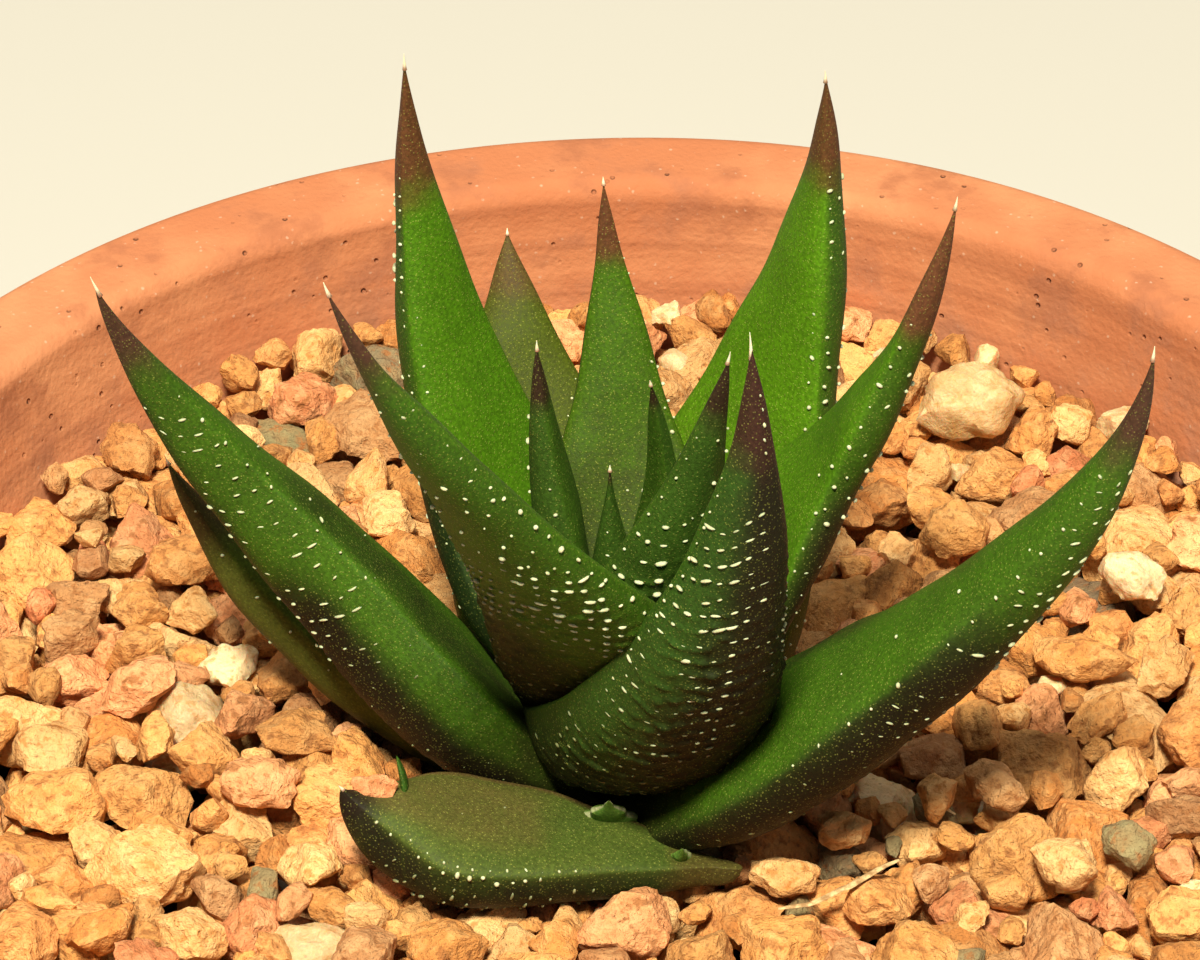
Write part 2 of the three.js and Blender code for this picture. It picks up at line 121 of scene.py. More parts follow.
def turns(angles: Array, axes: Array) -> Array:
    """Rotation matrices about unit axes: I + sin a K + (1 - cos a) K K, with K the cross matrix.

    Args:
        angles: One angle in radians for each matrix.
        axes: One unit axis for each matrix.

    Returns:
        An array of 3 by 3 matrices.
    """
    x, y, z = axes.T
    none = np.zeros_like(x)
    cross = np.array([[none, -z, y], [z, none, -x], [-y, x, none]]).transpose(2, 0, 1)
    sine = np.sin(angles)[:, None, None]
    rest = (1 - np.cos(angles))[:, None, None]
    return np.eye(3) + sine * cross + rest * (cross @ cross)


# ---------------------------------------------------------------- surfaces


@dataclass
class Surface:
    """Closed surfaces: points in millimetres, faces, and a flat map for the corners of the faces."""

    points: Array
    faces: list[Array]
    maps: list[Array]
    values: dict[str, Array] = field(default_factory=dict)

    def outward(self) -> "Surface":
        """Turns all faces round where the volume that they enclose comes out negative."""
        volume = 0.0
        for faces in self.faces:
            for k in range(1, faces.shape[1] - 1):
                a, b, c = (self.points[faces[:, i]] for i in (0, k, k + 1))
                volume += float((a * np.cross(b, c)).sum())
        if volume < 0:
            self.faces = [faces[:, ::-1] for faces in self.faces]
            self.maps = [flat[:, ::-1] for flat in self.maps]
        return self


def rings_to_surface(rings: Array, start: Array | None = None, end: Array | None = None) -> Surface:
    """Joins rings of points into one closed surface.

    Args:
        rings: Points as rows by columns by 3, where each row is a ring.
        start: The point that closes the first ring, or None where the rows close on themselves.
        end: The point that closes the last ring.

    Returns:
        The surface, with its flat map running round the rings and along the rows.
    """
    rows, columns = rings.shape[:2]
    bands = rows if start is None else rows - 1
    i, j = np.meshgrid(np.arange(bands), np.arange(columns), indexing="ij")
    i, j = i.ravel(), j.ravel()
    steps = ((0, 0), (0, 1), (1, 1), (1, 0))
    quads = np.stack([((i + di) % rows) * columns + (j + dj) % columns for di, dj in steps], -1)
    flat = [np.stack([(j + dj) / columns, (i + di + 1) / (rows + 2)], -1) for di, dj in steps]
    points = [rings.reshape(-1, 3)]
    faces, maps = [quads], [np.stack(flat, 1)]
    column = np.arange(columns)
    ends = [] if start is None else [(start, 0, 0, 0.0), (end, rows - 1, 1, 1.0)]
    for number, (pole, row, turned, height) in enumerate(ends):
        points.append(np.asarray(pole, float).reshape(1, 3))
        near, far = row * columns + column, row * columns + (column + 1) % columns
        tip = np.full(columns, rows * columns + number)
        level = np.full(columns, (row + 1) / (rows + 2))
        corners = [np.stack([(column + 0.5) / columns, np.full(columns, height)], -1)]
        corners += [np.stack([(column + side) / columns, level], -1) for side in (0, 1)]
        order = [0, 1, 2] if turned else [0, 2, 1]
        faces.append(np.stack([tip, near, far], -1)[:, order])
        maps.append(np.stack(corners, 1)[:, order])
    return Surface(np.concatenate(points), faces, maps).outward()


def tube(path: Array, radii: Array, sides: int, flatness: float = 1.0) -> Surface:
    """Carries a ring along a path: centre + r (cos a) side + r (sin a) other, closed at both ends.

    Args:
        path: The middle line, in millimetres.
        radii: The radius at each of its points.
        sides: How many points a ring has.
        flatness: The height of the section as a share of its width.

    Returns:
        The closed tube.
    """
    along = unit(np.gradient(path, axis=0))
    helper = np.array([0.0, 0.0, 1.0]) if abs(along[0, 2]) < 0.9 else np.array([1.0, 0.0, 0.0])
    side = unit(np.cross(along, helper))
    other = np.cross(side, along) * flatness
    angle = np.arange(sides) * TURN / sides
    ring = np.cos(angle)[:, None] * side[:, None] + np.sin(angle)[:, None] * other[:, None]
    rings = path[:, None] + ring * radii[:, None, None]
    return rings_to_surface(rings, path[0] - along[0] * radii[0] * 0.5, path[-1] + along[-1] * radii[-1])


def lathe(outline: Array, segments: int, closed: bool) -> Surface:
    """Turns an outline about the Z axis: (r cos a, r sin a, z) for each of its points.

    Args:
        outline: Points as radius and height. Where it isn't closed, it runs from axis to axis.
        segments: How many steps a turn has.
        closed: Whether the outline returns to its first point.

    Returns:
        The turned surface.
    """
    body = outline if closed else outline[1:-1]
    angle = np.arange(segments) * TURN / segments
    ring = np.stack([np.cos(angle), np.sin(angle), np.zeros(segments)], -1)
    rings = body[:, None, :1] * ring + body[:, None, 1:] * np.array([0.0, 0.0, 1.0])
    if closed:
        return rings_to_surface(rings)
    return rings_to_surface(rings, [0, 0, outline[0][1]], [0, 0, outline[-1][1]])


def copies(points: Array, template: Surface) -> Surface:
    """Makes one surface of many pieces that share a template's faces.

    Args:
        points: The pieces' points, as pieces by points by 3.
        template: The faces and map that each piece takes over.

    Returns:
        All pieces, each with a cell of the flat map to itself.
    """
    count, size = points.shape[:2]
    across = max(1, math.ceil(math.sqrt(count)))
    number = np.arange(count)
    cell = np.stack([number % across, number // across], -1)[:, None, None]
    faces = [(f[None] + (number * size)[:, None, None]).reshape(-1, f.shape[1]) for f in template.faces]
    maps = [((m[None] * 0.94 + 0.03 + cell) / across).reshape(-1, *m.shape[1:]) for m in template.maps]
    return Surface(points.reshape(-1, 3), faces, maps)


def joined(parts: list[Surface]) -> Surface:
    """Puts several surfaces into one, each with its own column of the flat map."""
    starts = np.cumsum([0] + [len(part.points) for part in parts])
    points = np.concatenate([part.points for part in parts])
    faces = [f + start for part, start in zip(parts, starts) for f in part.faces]
    shift = np.array([1.0, 0.0])
    maps = [(m + k * shift) * [1 / len(parts), 1] for k, part in enumerate(parts) for m in part.maps]
    names = parts[0].values
    values = {name: np.concatenate([part.values[name] for part in parts]) for name in names}
    return Surface(points, faces, maps, values)


def ball(level: int) -> Surface:
    """An evenly divided ball of radius 1.

    Args:
        level: How often its 20 faces are divided, counted from 1.

    Returns:
        The ball. Its flat map shows the upper half at the left and the lower half at the right, as
        discs whose radius grows with the angle from the pole.
    """
    maker = bmesh.new()
    bmesh.ops.create_icosphere(maker, subdivisions=level, radius=1.0)
    mesh = bpy.data.meshes.new("ball")
    maker.to_mesh(mesh)
    maker.free()
    points = np.zeros(len(mesh.vertices) * 3)
    corners = np.zeros(len(mesh.loops), np.int64)
    mesh.vertices.foreach_get("co", points)
    mesh.loops.foreach_get("vertex_index", corners)
    bpy.data.meshes.remove(mesh)
    points, faces = points.reshape(-1, 3), corners.reshape(-1, 3)
    placed = points[faces]
    upper = np.where(placed[..., 2].mean(1) > 0, 1.0, -1.0)[:, None]
    tilt = np.arccos(np.clip(placed[..., 2] * upper, -1, 1)) / (1.35 * HALF_TURN)
    flat = unit(placed[..., :2]) * tilt[..., None] * [0.5, 1.0]
    centre = np.stack([0.5 - 0.25 * upper, np.full_like(upper, 0.5)], -1)
    return Surface(points, [faces], [flat + centre])


def add_piece(
    name: str,
    surface: Surface,
    finish: "Finish",
    replaced: tuple[str, ...] = (),
    crease: float | None = None,
) -> bpy.types.Object:
    """Makes a surface a mesh object that rides on the part.

    Args:
        name: The piece's name.
        surface: Its shape, in the plant's space.
        finish: What it is covered with.
        replaced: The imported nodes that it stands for.
        crease: The angle in degrees past which an edge stays sharp, or None for a soft surface.

    Returns:
        The new object.
    """
    mesh = bpy.data.meshes.new(name)
    corners = np.concatenate([faces.ravel() for faces in surface.faces])
    sizes = np.concatenate([np.full(len(faces), faces.shape[1]) for faces in surface.faces])
    mesh.vertices.add(len(surface.points))
    mesh.vertices.foreach_set("co", to_frame(surface.points).astype(np.float32).ravel())
    mesh.loops.add(len(corners))
    mesh.loops.foreach_set("vertex_index", corners.astype(np.int32))
    mesh.polygons.add(len(sizes))
    mesh.polygons.foreach_set("loop_start", (np.cumsum(sizes) - sizes).astype(np.int32))
    mesh.update(calc_edges=True)
    flat = np.concatenate([part.reshape(-1, 2) for part in surface.maps])
    layer = mesh.uv_layers.new(name=MAP_NAME)
    layer.data.foreach_set("uv", flat.astype(np.float32).ravel())
    for key, numbers in surface.values.items():
        attribute = mesh.attributes.new(key, "FLOAT", "POINT")
        attribute.data.foreach_set("value", numbers.astype(np.float32))
    mesh.shade_smooth()
    if crease is not None:
        mesh.set_sharp_from_angle(angle=math.radians(crease))
    mesh.materials.append(finish.material())
    piece = bpy.data.objects.new(name, mesh)
    bpy.context.scene.collection.objects.link(piece)
    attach(piece, BODY)
    if replaced:
        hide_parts(*replaced)
    log.info("%s: %d points, %d faces", name, len(mesh.vertices), len(mesh.polygons))
    return piece


# ---------------------------------------------------------------- shaders

Colour = tuple[float, float, float]
Place = tuple[float, float, float]


class Signal:
    """A shader value that takes part in Python arithmetic."""

    def __init__(self, shader: "Shader", socket: bpy.types.NodeSocket) -> None:
        """Wraps an output socket of a shader's node."""
        self.shader = shader
        self.socket = socket

    def combined(self, operation: str, *others: Any) -> "Signal":
        """Feeds this value and others to a Math node.

        Args:
            operation: The Math node's operation.
            others: Numbers or signals for its next sockets.

        Returns:
            What the node gives.
        """
        inputs = dict(enumerate((self, *others)))
        made = self.shader.node("ShaderNodeMath", {"operation": operation}, inputs)
        return Signal(self.shader, made.outputs[0])

    def __add__(self, other: Any) -> "Signal":
        """self + other."""
        return self.combined("ADD", other)

    __radd__ = __add__

    def __mul__(self, other: Any) -> "Signal":
        """self * other."""
        return self.combined("MULTIPLY", other)

    __rmul__ = __mul__

    def __sub__(self, other: Any) -> "Signal":
        """self - other."""
        return self.combined("SUBTRACT", other)

    def __rsub__(self, other: Any) -> "Signal":
        """other - self, as -1 * self + other."""
        return self.combined("MULTIPLY_ADD", -1.0, other)

    def __pow__(self, other: Any) -> "Signal":
        """self ** other."""
        return self.combined("POWER", other)

    def __abs__(self) -> "Signal":
        """The value without its sign."""
        return self.combined("ABSOLUTE")

    def sine(self) -> "Signal":
        """The sine of the value in radians."""
        return self.combined("SINE")

    def least(self, other: Any) -> "Signal":
        """The smaller of two values."""
        return self.combined("MINIMUM", other)

    def eased(self, low: float, high: float) -> "Signal":
        """A smooth step from 0 at low to 1 at high; it falls where low is above high.

        Args:
            low: Where the step starts.
            high: Where the step ends.

        Returns:
            A value from 0 to 1.
        """
        rising = low < high
        settings = {"interpolation_type": "SMOOTHSTEP"}
        ends = {1: min(low, high), 2: max(low, high), 3: 0.0 if rising else 1.0, 4: 1.0 if rising else 0.0}
        made = self.shader.node("ShaderNodeMapRange", settings, {0: self, **ends})
        return Signal(self.shader, made.outputs[0])


class Shader:
    """A material's node tree, built from a principled surface."""

    def __init__(self, name: str) -> None:
        """Starts a material with nothing but a principled surface and its output."""
        self.material = bpy.data.materials.new(name)
        self.material.use_nodes = True
        self.tree = self.material.node_tree
        self.tree.nodes.clear()
        self.surface = self.node("ShaderNodeBsdfPrincipled")
        self.node("ShaderNodeOutputMaterial", {}, {"Surface": self.surface.outputs[0]})
        self.place = self.node("ShaderNodeTexCoord").outputs["Object"]

    def node(self, kind: str, settings: dict | None = None, inputs: dict | None = None) -> bpy.types.Node:
        """Adds a node.

        Args:
            kind: The node's type.
            settings: Its properties, set first. `stops` fills a colour ramp with places and colours.
            inputs: Values, sockets or signals, by socket name or number.

        Returns:
            The node.
        """
        made = self.tree.nodes.new(kind)
        for key, value in (settings or {}).items():
            if key == "stops":
                self._fill_ramp(made.color_ramp, value)
            else:
                setattr(made, key, value)
        for key, value in (inputs or {}).items():
            socket = value.socket if isinstance(value, Signal) else value
            if isinstance(socket, bpy.types.NodeSocket):
                self.tree.links.new(socket, made.inputs[key])
            else:
                made.inputs[key].default_value = socket
        return made

    @staticmethod
    def _fill_ramp(ramp: bpy.types.ColorRamp, stops: list[tuple[float, Colour]]) -> None:
        """Sets a colour ramp's stops from places and colours."""
        while len(ramp.elements) < len(stops):
            ramp.elements.new(0.5)
        for element, (place, colour) in zip(ramp.elements, stops):
            element.position = place
            element.color = (*colour, 1.0)

    def attribute(self, name: str) -> Signal:
        """A number that the mesh carries at each point."""
        made = self.node("ShaderNodeAttribute", {"attribute_name": name})
        return Signal(self, made.outputs["Fac"])

    def axis(self, number: int) -> Signal:
        """One coordinate of the place on the piece, in metres."""
        made = self.node("ShaderNodeSeparateXYZ", {}, {0: self.place})
        return Signal(self, made.outputs[number])

    def noise(self, size: float, detail: float = 3.0, rough: float = 0.5, stretch: Colour = (1, 1, 1)) -> Signal:
        """Cloudy noise about 0.5.

        Args:
            size: The size of its patches, in millimetres.
            detail: How many finer layers it has.
            rough: How strong the finer layers are.
            stretch: Scales the place first, so that patches become streaks.

        Returns:
            A value that is mostly from 0.25 to 0.75.
        """
        settings = {"vector_type": "POINT"}
        scaled = self.node("ShaderNodeMapping", settings, {"Vector": self.place, "Scale": stretch})
        inputs = {"Vector": scaled.outputs[0], "Scale": 1 / (size * MM), "Detail": detail, "Roughness": rough}
        return Signal(self, self.node("ShaderNodeTexNoise", {}, inputs).outputs["Fac"])

    def cells(self, size: float, feature: str = "F1") -> bpy.types.Node:
        """A pattern of cells.

        Args:
            size: The size of the cells, in millimetres.
            feature: The Voronoi node's feature.

        Returns:
            The node, whose outputs are a distance and, mostly, a colour for each cell.
        """
        inputs = {"Vector": self.place, "Scale": 1 / (size * MM)}
        return self.node("ShaderNodeTexVoronoi", {"feature": feature}, inputs)

    def specks(self, size: float, radius: float) -> Signal:
        """Small round specks: 1 in the middle of each cell and 0 from a radius outwards."""
        return Signal(self, self.cells(size).outputs["Distance"]).eased(radius, radius * 0.35)

    def mix(self, factor: Any, first: Any, second: Any, blend: str = "MIX") -> bpy.types.NodeSocket:
        """Mixes two colours.

        Args:
            factor: How much of the second shows.
            first: A colour or a colour socket.
            second: Another.
            blend: The Mix node's way of mixing.

        Returns:
            The mixed colour.
        """
        settings = {"data_type": "RGBA", "blend_type": blend}
        inputs = {0: factor, 6: self._colour(first), 7: self._colour(second)}
        return self.node("ShaderNodeMix", settings, inputs).outputs[2]

    @staticmethod
    def _colour(value: Any) -> Any:
        """Gives a plain colour its alpha, and leaves a socket as it is."""
        return (*value, 1.0) if isinstance(value, tuple) else value

    def ramp(self, factor: Signal, stops: list[tuple[float, Colour]]) -> bpy.types.NodeSocket:
        """Turns a value into a colour by stops."""
        return self.node("ShaderNodeValToRGB", {"stops": stops}, {0: factor}).outputs[0]

    def bump(self, height: Signal, depth: float, under: Any = None) -> bpy.types.NodeSocket:
        """Raises a surface in its shading.

        Args:
            height: The height, from 0 to 1.
            depth: How high 1 stands, in millimetres.
            under: The normal that is raised, if not the surface's own.

        Returns:
            The bumped normal.
        """
        inputs = {"Height": height, "Distance": depth * MM, "Strength": 1.0}
        if under is not None:
            inputs["Normal"] = under
        return self.node("ShaderNodeBump", {}, inputs).outputs[0]

    def cover(self, inputs: dict[str, Any]) -> bpy.types.Material:
        """Sets the principled surface's sockets and gives the material back."""
        for key, value in inputs.items():
            socket = value.socket if isinstance(value, Signal) else value
            if isinstance(socket, bpy.types.NodeSocket):
                self.tree.links.new(socket, self.surface.inputs[key])
            else:
                plain = self._colour(socket) if key == "Base Color" else socket
                self.surface.inputs[key].default_value = plain
        return self.material


# ---------------------------------------------------------------- finishes


@dataclass(frozen=True)
class Finish:
    """What a piece is covered with. Its material is made once and then shared."""

    name: str

    def material(self) -> bpy.types.Material:
        """The finish's material."""
        return bpy.data.materials.get(self.name) or self.build(Shader(self.name))

    def build(self, shader: Shader) -> bpy.types.Material:
        """Builds the nodes; each finish does it in its own way."""
        raise NotImplementedError


@dataclass(frozen=True)
class LeafFinish(Finish):
    """Waxy skin with fine pale specks, purple-brown at the tip; its base is browned and partly painted shade.

    It reads `face`, from -1 outside to 1 inside, `tip` and `low`, from 0 to 1 towards the two ends,
    and `tinge_and_shade`, for real brown patches and pale rims, and for painted shade on flanks that face away
    from the lamp.
    """

    inner: Colour
    outer: Colour
    deep: Colour
    base: Colour = (0.075, 0.060, 0.016)
    tip: Colour = (0.085, 0.030, 0.026)
    pale: Colour = (0.32, 0.34, 0.07)
    # The colour that `tinge_and_shade` mixes in: real browning, and painted shade on flanks turned from the lamp.
    tinge_and_shade: Colour = (0.020, 0.017, 0.006)
    speck: float = 0.55

    def build(self, shader: Shader) -> bpy.types.Material:
        """Green by face, deepened in patches, then base, blush, tip and specks."""
        broad, grain = shader.noise(5.0, 2.0), shader.noise(0.22, 2.0)
        skin = shader.mix(shader.attribute("face").eased(-0.15, 0.25), self.outer, self.inner)
        skin = shader.mix(broad.eased(0.42, 0.68) * 0.45, skin, self.deep)
        veins = shader.noise(0.9, 2.0, 0.5, (1.0, 1.0, 0.12)).eased(0.5, 0.62)
        skin = shader.mix(veins * 0.18, skin, self.deep)
        wander = (shader.noise(1.6, 4.0) - 0.5) * 0.9
        # Base colour by `low`: real browning, and painted shade where the foot of a leaf stands in shade.
        skin = shader.mix((shader.attribute("low") + wander).eased(0.2, 1.0) * 0.85, skin, self.base)
        # Brown patches and pale rims by `tinge_and_shade`, and painted shade on the flanks that face away from the
        # lamp.
        skin = shader.mix((shader.attribute("tinge_and_shade") + wander * 0.4).eased(0.05, 0.95), skin, self.tinge_and_shade)
        end = (shader.attribute("tip") + wander * 0.7).eased(0.15, 0.85)
        skin = shader.mix(end * 0.94, skin, self.tip)
        specks = shader.specks(0.21, 0.34)
        skin = shader.mix(specks * (0.1 + grain) * self.speck, skin, self.pale)
        tone = shader.mix(grain.eased(0.3, 0.75), (0.74, 0.74, 0.74), (1.22, 1.22, 1.22))
        skin = shader.mix(1.0, skin, tone, "MULTIPLY")
        normal = shader.bump(specks, 0.02)
        normal = shader.bump(shader.noise(0.13, 2.0), 0.03, normal)
        return shader.cover(
            {
                "Base Color": skin,
                "Roughness": 0.48 + 0.28 * grain - 0.1 * specks,
                "Normal": normal,
                "Specular IOR Level": 0.16,
                "Subsurface Weight": 0.12,
                "Subsurface Radius": (0.5, 1.0, 0.2),
                "Subsurface Scale": 0.0012,
            }
        )


@dataclass(frozen=True)
class WartFinish(Finish):
    """Hard white warts that grow dull and greenish where `fade` falls to 0."""

    white: Colour = (0.66, 0.70, 0.47)
    dull: Colour = (0.12, 0.14, 0.045)

    def build(self, shader: Shader) -> bpy.types.Material:
        """White to dull by `fade`, with a fine grain."""
        grain = shader.noise(0.12, 2.0)
        colour = shader.mix(shader.attribute("fade"), self.dull, self.white)
        colour = shader.mix(grain.eased(0.35, 0.7) * 0.25, colour, self.dull)
        inputs = {"Base Color": colour, "Roughness": 0.4 + 0.25 * grain, "Subsurface Weight": 0.2}
        inputs |= {"Subsurface Scale": 0.0005, "Normal": shader.bump(grain, 0.02)}
        return shader.cover(inputs)


@dataclass(frozen=True)
class BristleFinish(Finish):
    """A dry horny bristle, brown where it leaves the leaf and cream at its end."""

    root: Colour = (0.30, 0.16, 0.10)
    cream: Colour = (0.86, 0.76, 0.55)

    def build(self, shader: Shader) -> bpy.types.Material:
        """Brown to cream by `share`, streaked."""
        streaks = shader.noise(0.2, 2.0)
        share = shader.attribute("share") + (streaks - 0.5) * 0.2
        colour = shader.mix(share.eased(0.05, 0.45), self.root, self.cream)
        inputs = {"Base Color": colour, "Roughness": 0.35 + 0.3 * streaks, "Subsurface Weight": 0.25}
        return shader.cover(inputs | {"Subsurface Scale": 0.0006, "Normal": shader.bump(streaks, 0.01)})


@dataclass(frozen=True)
class StoneFinish(Finish):
    """Broken granite: mineral grains, iron stains and small pits. It reads `tint`, `tone` and `hollow`."""

    palette: tuple[Colour, ...]
    vein: Colour = (0.88, 0.60, 0.30)
    stain: Colour = (0.32, 0.12, 0.035)
    grain_size: float = 1.0
    patches: float = 0.5
    gloss: float = 0.0
    clear: float = 0.0

    def build(self, shader: Shader) -> bpy.types.Material:
        """A colour for each stone by `tint`, then grains, veins, stains and dust by `tone`."""
        tint, tone = shader.attribute("tint"), shader.attribute("tone")
        hollow = shader.attribute("hollow")
        steps = [(k / max(1, len(self.palette) - 1), colour) for k, colour in enumerate(self.palette)]
        rock = shader.ramp(tint, steps)
        broad = shader.noise(self.grain_size * 2.6, 4.0, 0.6)
        middle = shader.noise(self.grain_size * 0.9, 4.0, 0.6)
        fine = shader.noise(self.grain_size * 0.4, 4.0, 0.65)
        spread = Signal(shader, shader.cells(self.grain_size * 0.55).outputs["Color"])
        pale = (broad.eased(0.48, 0.62) * 0.8 + spread.eased(0.66, 0.72) * 0.5).least(1.0)
        rock = shader.mix(pale * self.patches, rock, self.vein)
        stained = middle.eased(0.47, 0.34) + broad.eased(0.42, 0.30) * 0.6
        rock = shader.mix((stained * 0.75).least(1.0), rock, self.stain)
        rock = shader.mix(hollow * 0.28, rock, self.stain)
        flecks = shader.specks(self.grain_size * 0.6, 0.26) * shader.noise(3.0).eased(0.42, 0.56)
        rock = shader.mix(flecks * 0.4, rock, (0.14, 0.06, 0.03))
        light = shader.mix(fine * 0.6 + tone * 0.4, (0.46, 0.44, 0.42), (1.52, 1.52, 1.50))
        rock = shader.mix(1.0, rock, light, "MULTIPLY")
        edges = Signal(shader, shader.cells(self.grain_size * 0.7, "DISTANCE_TO_EDGE").outputs["Distance"])
        normal = shader.bump(edges.eased(0.0, 0.2), 0.035 * self.grain_size * (1 - self.gloss))
        normal = shader.bump(middle, 0.30 * (1 - 0.7 * self.gloss), normal)
        normal = shader.bump(fine, 0.28 * (1 - 0.7 * self.gloss), normal)
        normal = shader.bump(shader.noise(0.11, 2.0), 0.06 * (1 - self.gloss), normal)
        inputs = {"Base Color": rock, "Normal": normal, "Specular IOR Level": 0.35 + 0.2 * self.gloss}
        inputs["Roughness"] = (0.72 - 0.42 * self.gloss) + 0.3 * fine
        if self.clear:
            inputs |= {"Subsurface Weight": self.clear, "Subsurface Scale": 0.002}
        return shader.cover(inputs)


@dataclass(frozen=True)
class ClayFinish(Finish):
    """Unglazed fired clay with fine grit, throwing lines and pale mineral bloom."""

    clay: Colour = (0.44, 0.155, 0.070)
    burnt: Colour = (0.27, 0.085, 0.040)
    light: Colour = (0.55, 0.235, 0.115)
    bloom: Colour = (0.66, 0.55, 0.45)
    bloom_level: float = 0.058
    broken: bool = False

    def build(self, shader: Shader) -> bpy.types.Material:
        """Clay in soft patches, pits, lines round the wheel's axis and bloom below the band."""
        height = shader.axis(2)
        broad, middle = shader.noise(24.0, 4.0, 0.6), shader.noise(5.0, 5.0, 0.6)
        fine = shader.noise(0.5, 3.0)
        clay = shader.mix(broad.eased(0.4, 0.64), self.clay, self.light)
        clay = shader.mix(middle.eased(0.5, 0.68) * 0.5, clay, self.burnt)
        lines = shader.noise(1.6, 2.0, 0.5, (0.03, 0.03, 1.0))
        clay = shader.mix(lines.eased(0.52, 0.62) * 0.22, clay, self.burnt)
        pits = shader.specks(1.5, 0.16) * middle.eased(0.45, 0.6)
        clay = shader.mix(pits * 0.7, clay, self.burnt)
        grit = shader.specks(0.8, 0.22) * fine.eased(0.5, 0.62)
        clay = shader.mix(grit * 0.35, clay, self.bloom)
        where = (height + (broad - 0.5) * 0.05).eased(self.bloom_level + 0.02, self.bloom_level - 0.03)
        foot = height.eased(0.03, 0.0)
        crust = (where * middle.eased(0.46, 0.66) + foot * broad.eased(0.4, 0.6) * 0.6).least(1.0)
        clay = shader.mix(crust * (0.3 + 0.5 * fine), clay, self.bloom)
        normal = shader.bump(lines, 0.16)
        normal = shader.bump(fine, 0.10 + 0.25 * self.broken, normal)
        normal = shader.bump(1 - pits, 0.25, normal)
        inputs = {"Base Color": clay, "Normal": normal, "Roughness": 0.78 + 0.2 * fine}
        return shader.cover(inputs | {"Specular IOR Level": 0.3})


@dataclass(frozen=True)
class FibreFinish(Finish):
    """Dry plant matter: streaks of two colours with a rough skin."""

    light: Colour
    dark: Colour
    size: float = 0.6
    depth: float = 0.15

    def build(self, shader: Shader) -> bpy.types.Material:
        """Two colours in clouds and specks, bumped by the same clouds."""
        clouds, fine = shader.noise(self.size * 3, 4.0, 0.6), shader.noise(self.size * 0.5, 3.0)
        colour = shader.mix(clouds.eased(0.38, 0.62), self.dark, self.light)
        colour = shader.mix(fine.eased(0.52, 0.7) * 0.6, colour, self.dark)
        normal = shader.bump(fine, self.depth)
        return shader.cover({"Base Color": colour, "Roughness": 0.75 + 0.2 * fine, "Normal": normal})


@dataclass(frozen=True)
class FloorFinish(Finish):
    """A plain pale studio floor."""

    pale: Colour = (0.56, 0.55, 0.53)

    def build(self, shader: Shader) -> bpy.types.Material:
        """One matt colour."""
        return shader.cover({"Base Color": self.pale, "Roughness": 0.9})


# Painted light: lit copies of one green skin, brighter where an inner face turns to the lamp and glows.
LIT_LEAF = LeafFinish(
    "leaf_lit", (0.056, 0.152, 0.0025), (0.030, 0.078, 0.005), (0.036, 0.100, 0.002),
    base=(0.045, 0.075, 0.004), tip=(0.105, 0.034, 0.015), tinge_and_shade=(0.014, 0.028, 0.006),
)
# Painted light: the brightest lit copy, for the back leaf whose inner face glows in the lamp.
LIT_BRIGHT_LEAF = LeafFinish(
    "leaf_bright_lit", (0.072, 0.186, 0.003), (0.036, 0.088, 0.006), (0.048, 0.118, 0.002),
    base=(0.055, 0.090, 0.004), tip=(0.105, 0.036, 0.016), tinge_and_shade=(0.030, 0.050, 0.006),
)
# Painted shade: a darker copy of the same skin for a back leaf in shade; its base colour is painted shade too.
SHADED_LEAF = LeafFinish(
    "leaf_shaded", (0.042, 0.104, 0.001), (0.030, 0.070, 0.004), (0.030, 0.072, 0.002),
    base=(0.032, 0.046, 0.004), tip=(0.105, 0.034, 0.015),
)
SIDE_LEAF = LeafFinish(
    "leaf_side", (0.060, 0.158, 0.003), (0.040, 0.092, 0.005), (0.038, 0.100, 0.003),
    base=(0.038, 0.048, 0.005), tip=(0.13, 0.044, 0.022),
)
# Dark brown-green skin, darkened further as painted shade on an outer face that turns away from the lamp; its
# near-black base and blush colours are painted shade mixed with real browning.
SHADED_DARK_LEAF = LeafFinish(
    "leaf_dark_shaded", (0.034, 0.094, 0.005), (0.028, 0.074, 0.008), (0.022, 0.044, 0.006),
    base=(0.012, 0.014, 0.004), tip=(0.042, 0.015, 0.011), tinge_and_shade=(0.012, 0.0105, 0.0035),
)
# The near-black blush colour is painted shade, with some brown, on the two long outer leaves; the dark base colour
# is partly painted shade.
LONG_LEAF = LeafFinish(
    "leaf_long", (0.040, 0.104, 0.004), (0.044, 0.112, 0.005), (0.028, 0.062, 0.004),
    base=(0.024, 0.024, 0.005), tip=(0.065, 0.024, 0.018), tinge_and_shade=(0.011, 0.0085, 0.003),
)
FOLDED_LEAF = LeafFinish(
    "leaf_folded", (0.044, 0.112, 0.004), (0.036, 0.096, 0.004), (0.026, 0.054, 0.003),
    base=(0.050, 0.042, 0.009), tip=(0.070, 0.025, 0.018),
)
YOUNG_LEAF = LeafFinish(
    "leaf_young", (0.038, 0.092, 0.006), (0.035, 0.084, 0.008), (0.020, 0.046, 0.004), tip=(0.030, 0.012, 0.008)
)
# Painted light and shade: the body colours are brightened to offset the shade that the left outer leaf casts, and
# the dark base colour is painted shade towards the foot.
LOW_LEAF = LeafFinish(
    "leaf_low", (0.075, 0.115, 0.010), (0.085, 0.105, 0.016), (0.060, 0.076, 0.010),
    base=(0.022, 0.026, 0.006), tip=(0.060, 0.044, 0.012), speck=0.3,
)
DULL_LEAF = LeafFinish(
    "leaf_dull", (0.052, 0.074, 0.003), (0.045, 0.062, 0.008), (0.044, 0.060, 0.006),
    base=(0.020, 0.026, 0.007), tip=(0.085, 0.052, 0.014),
)
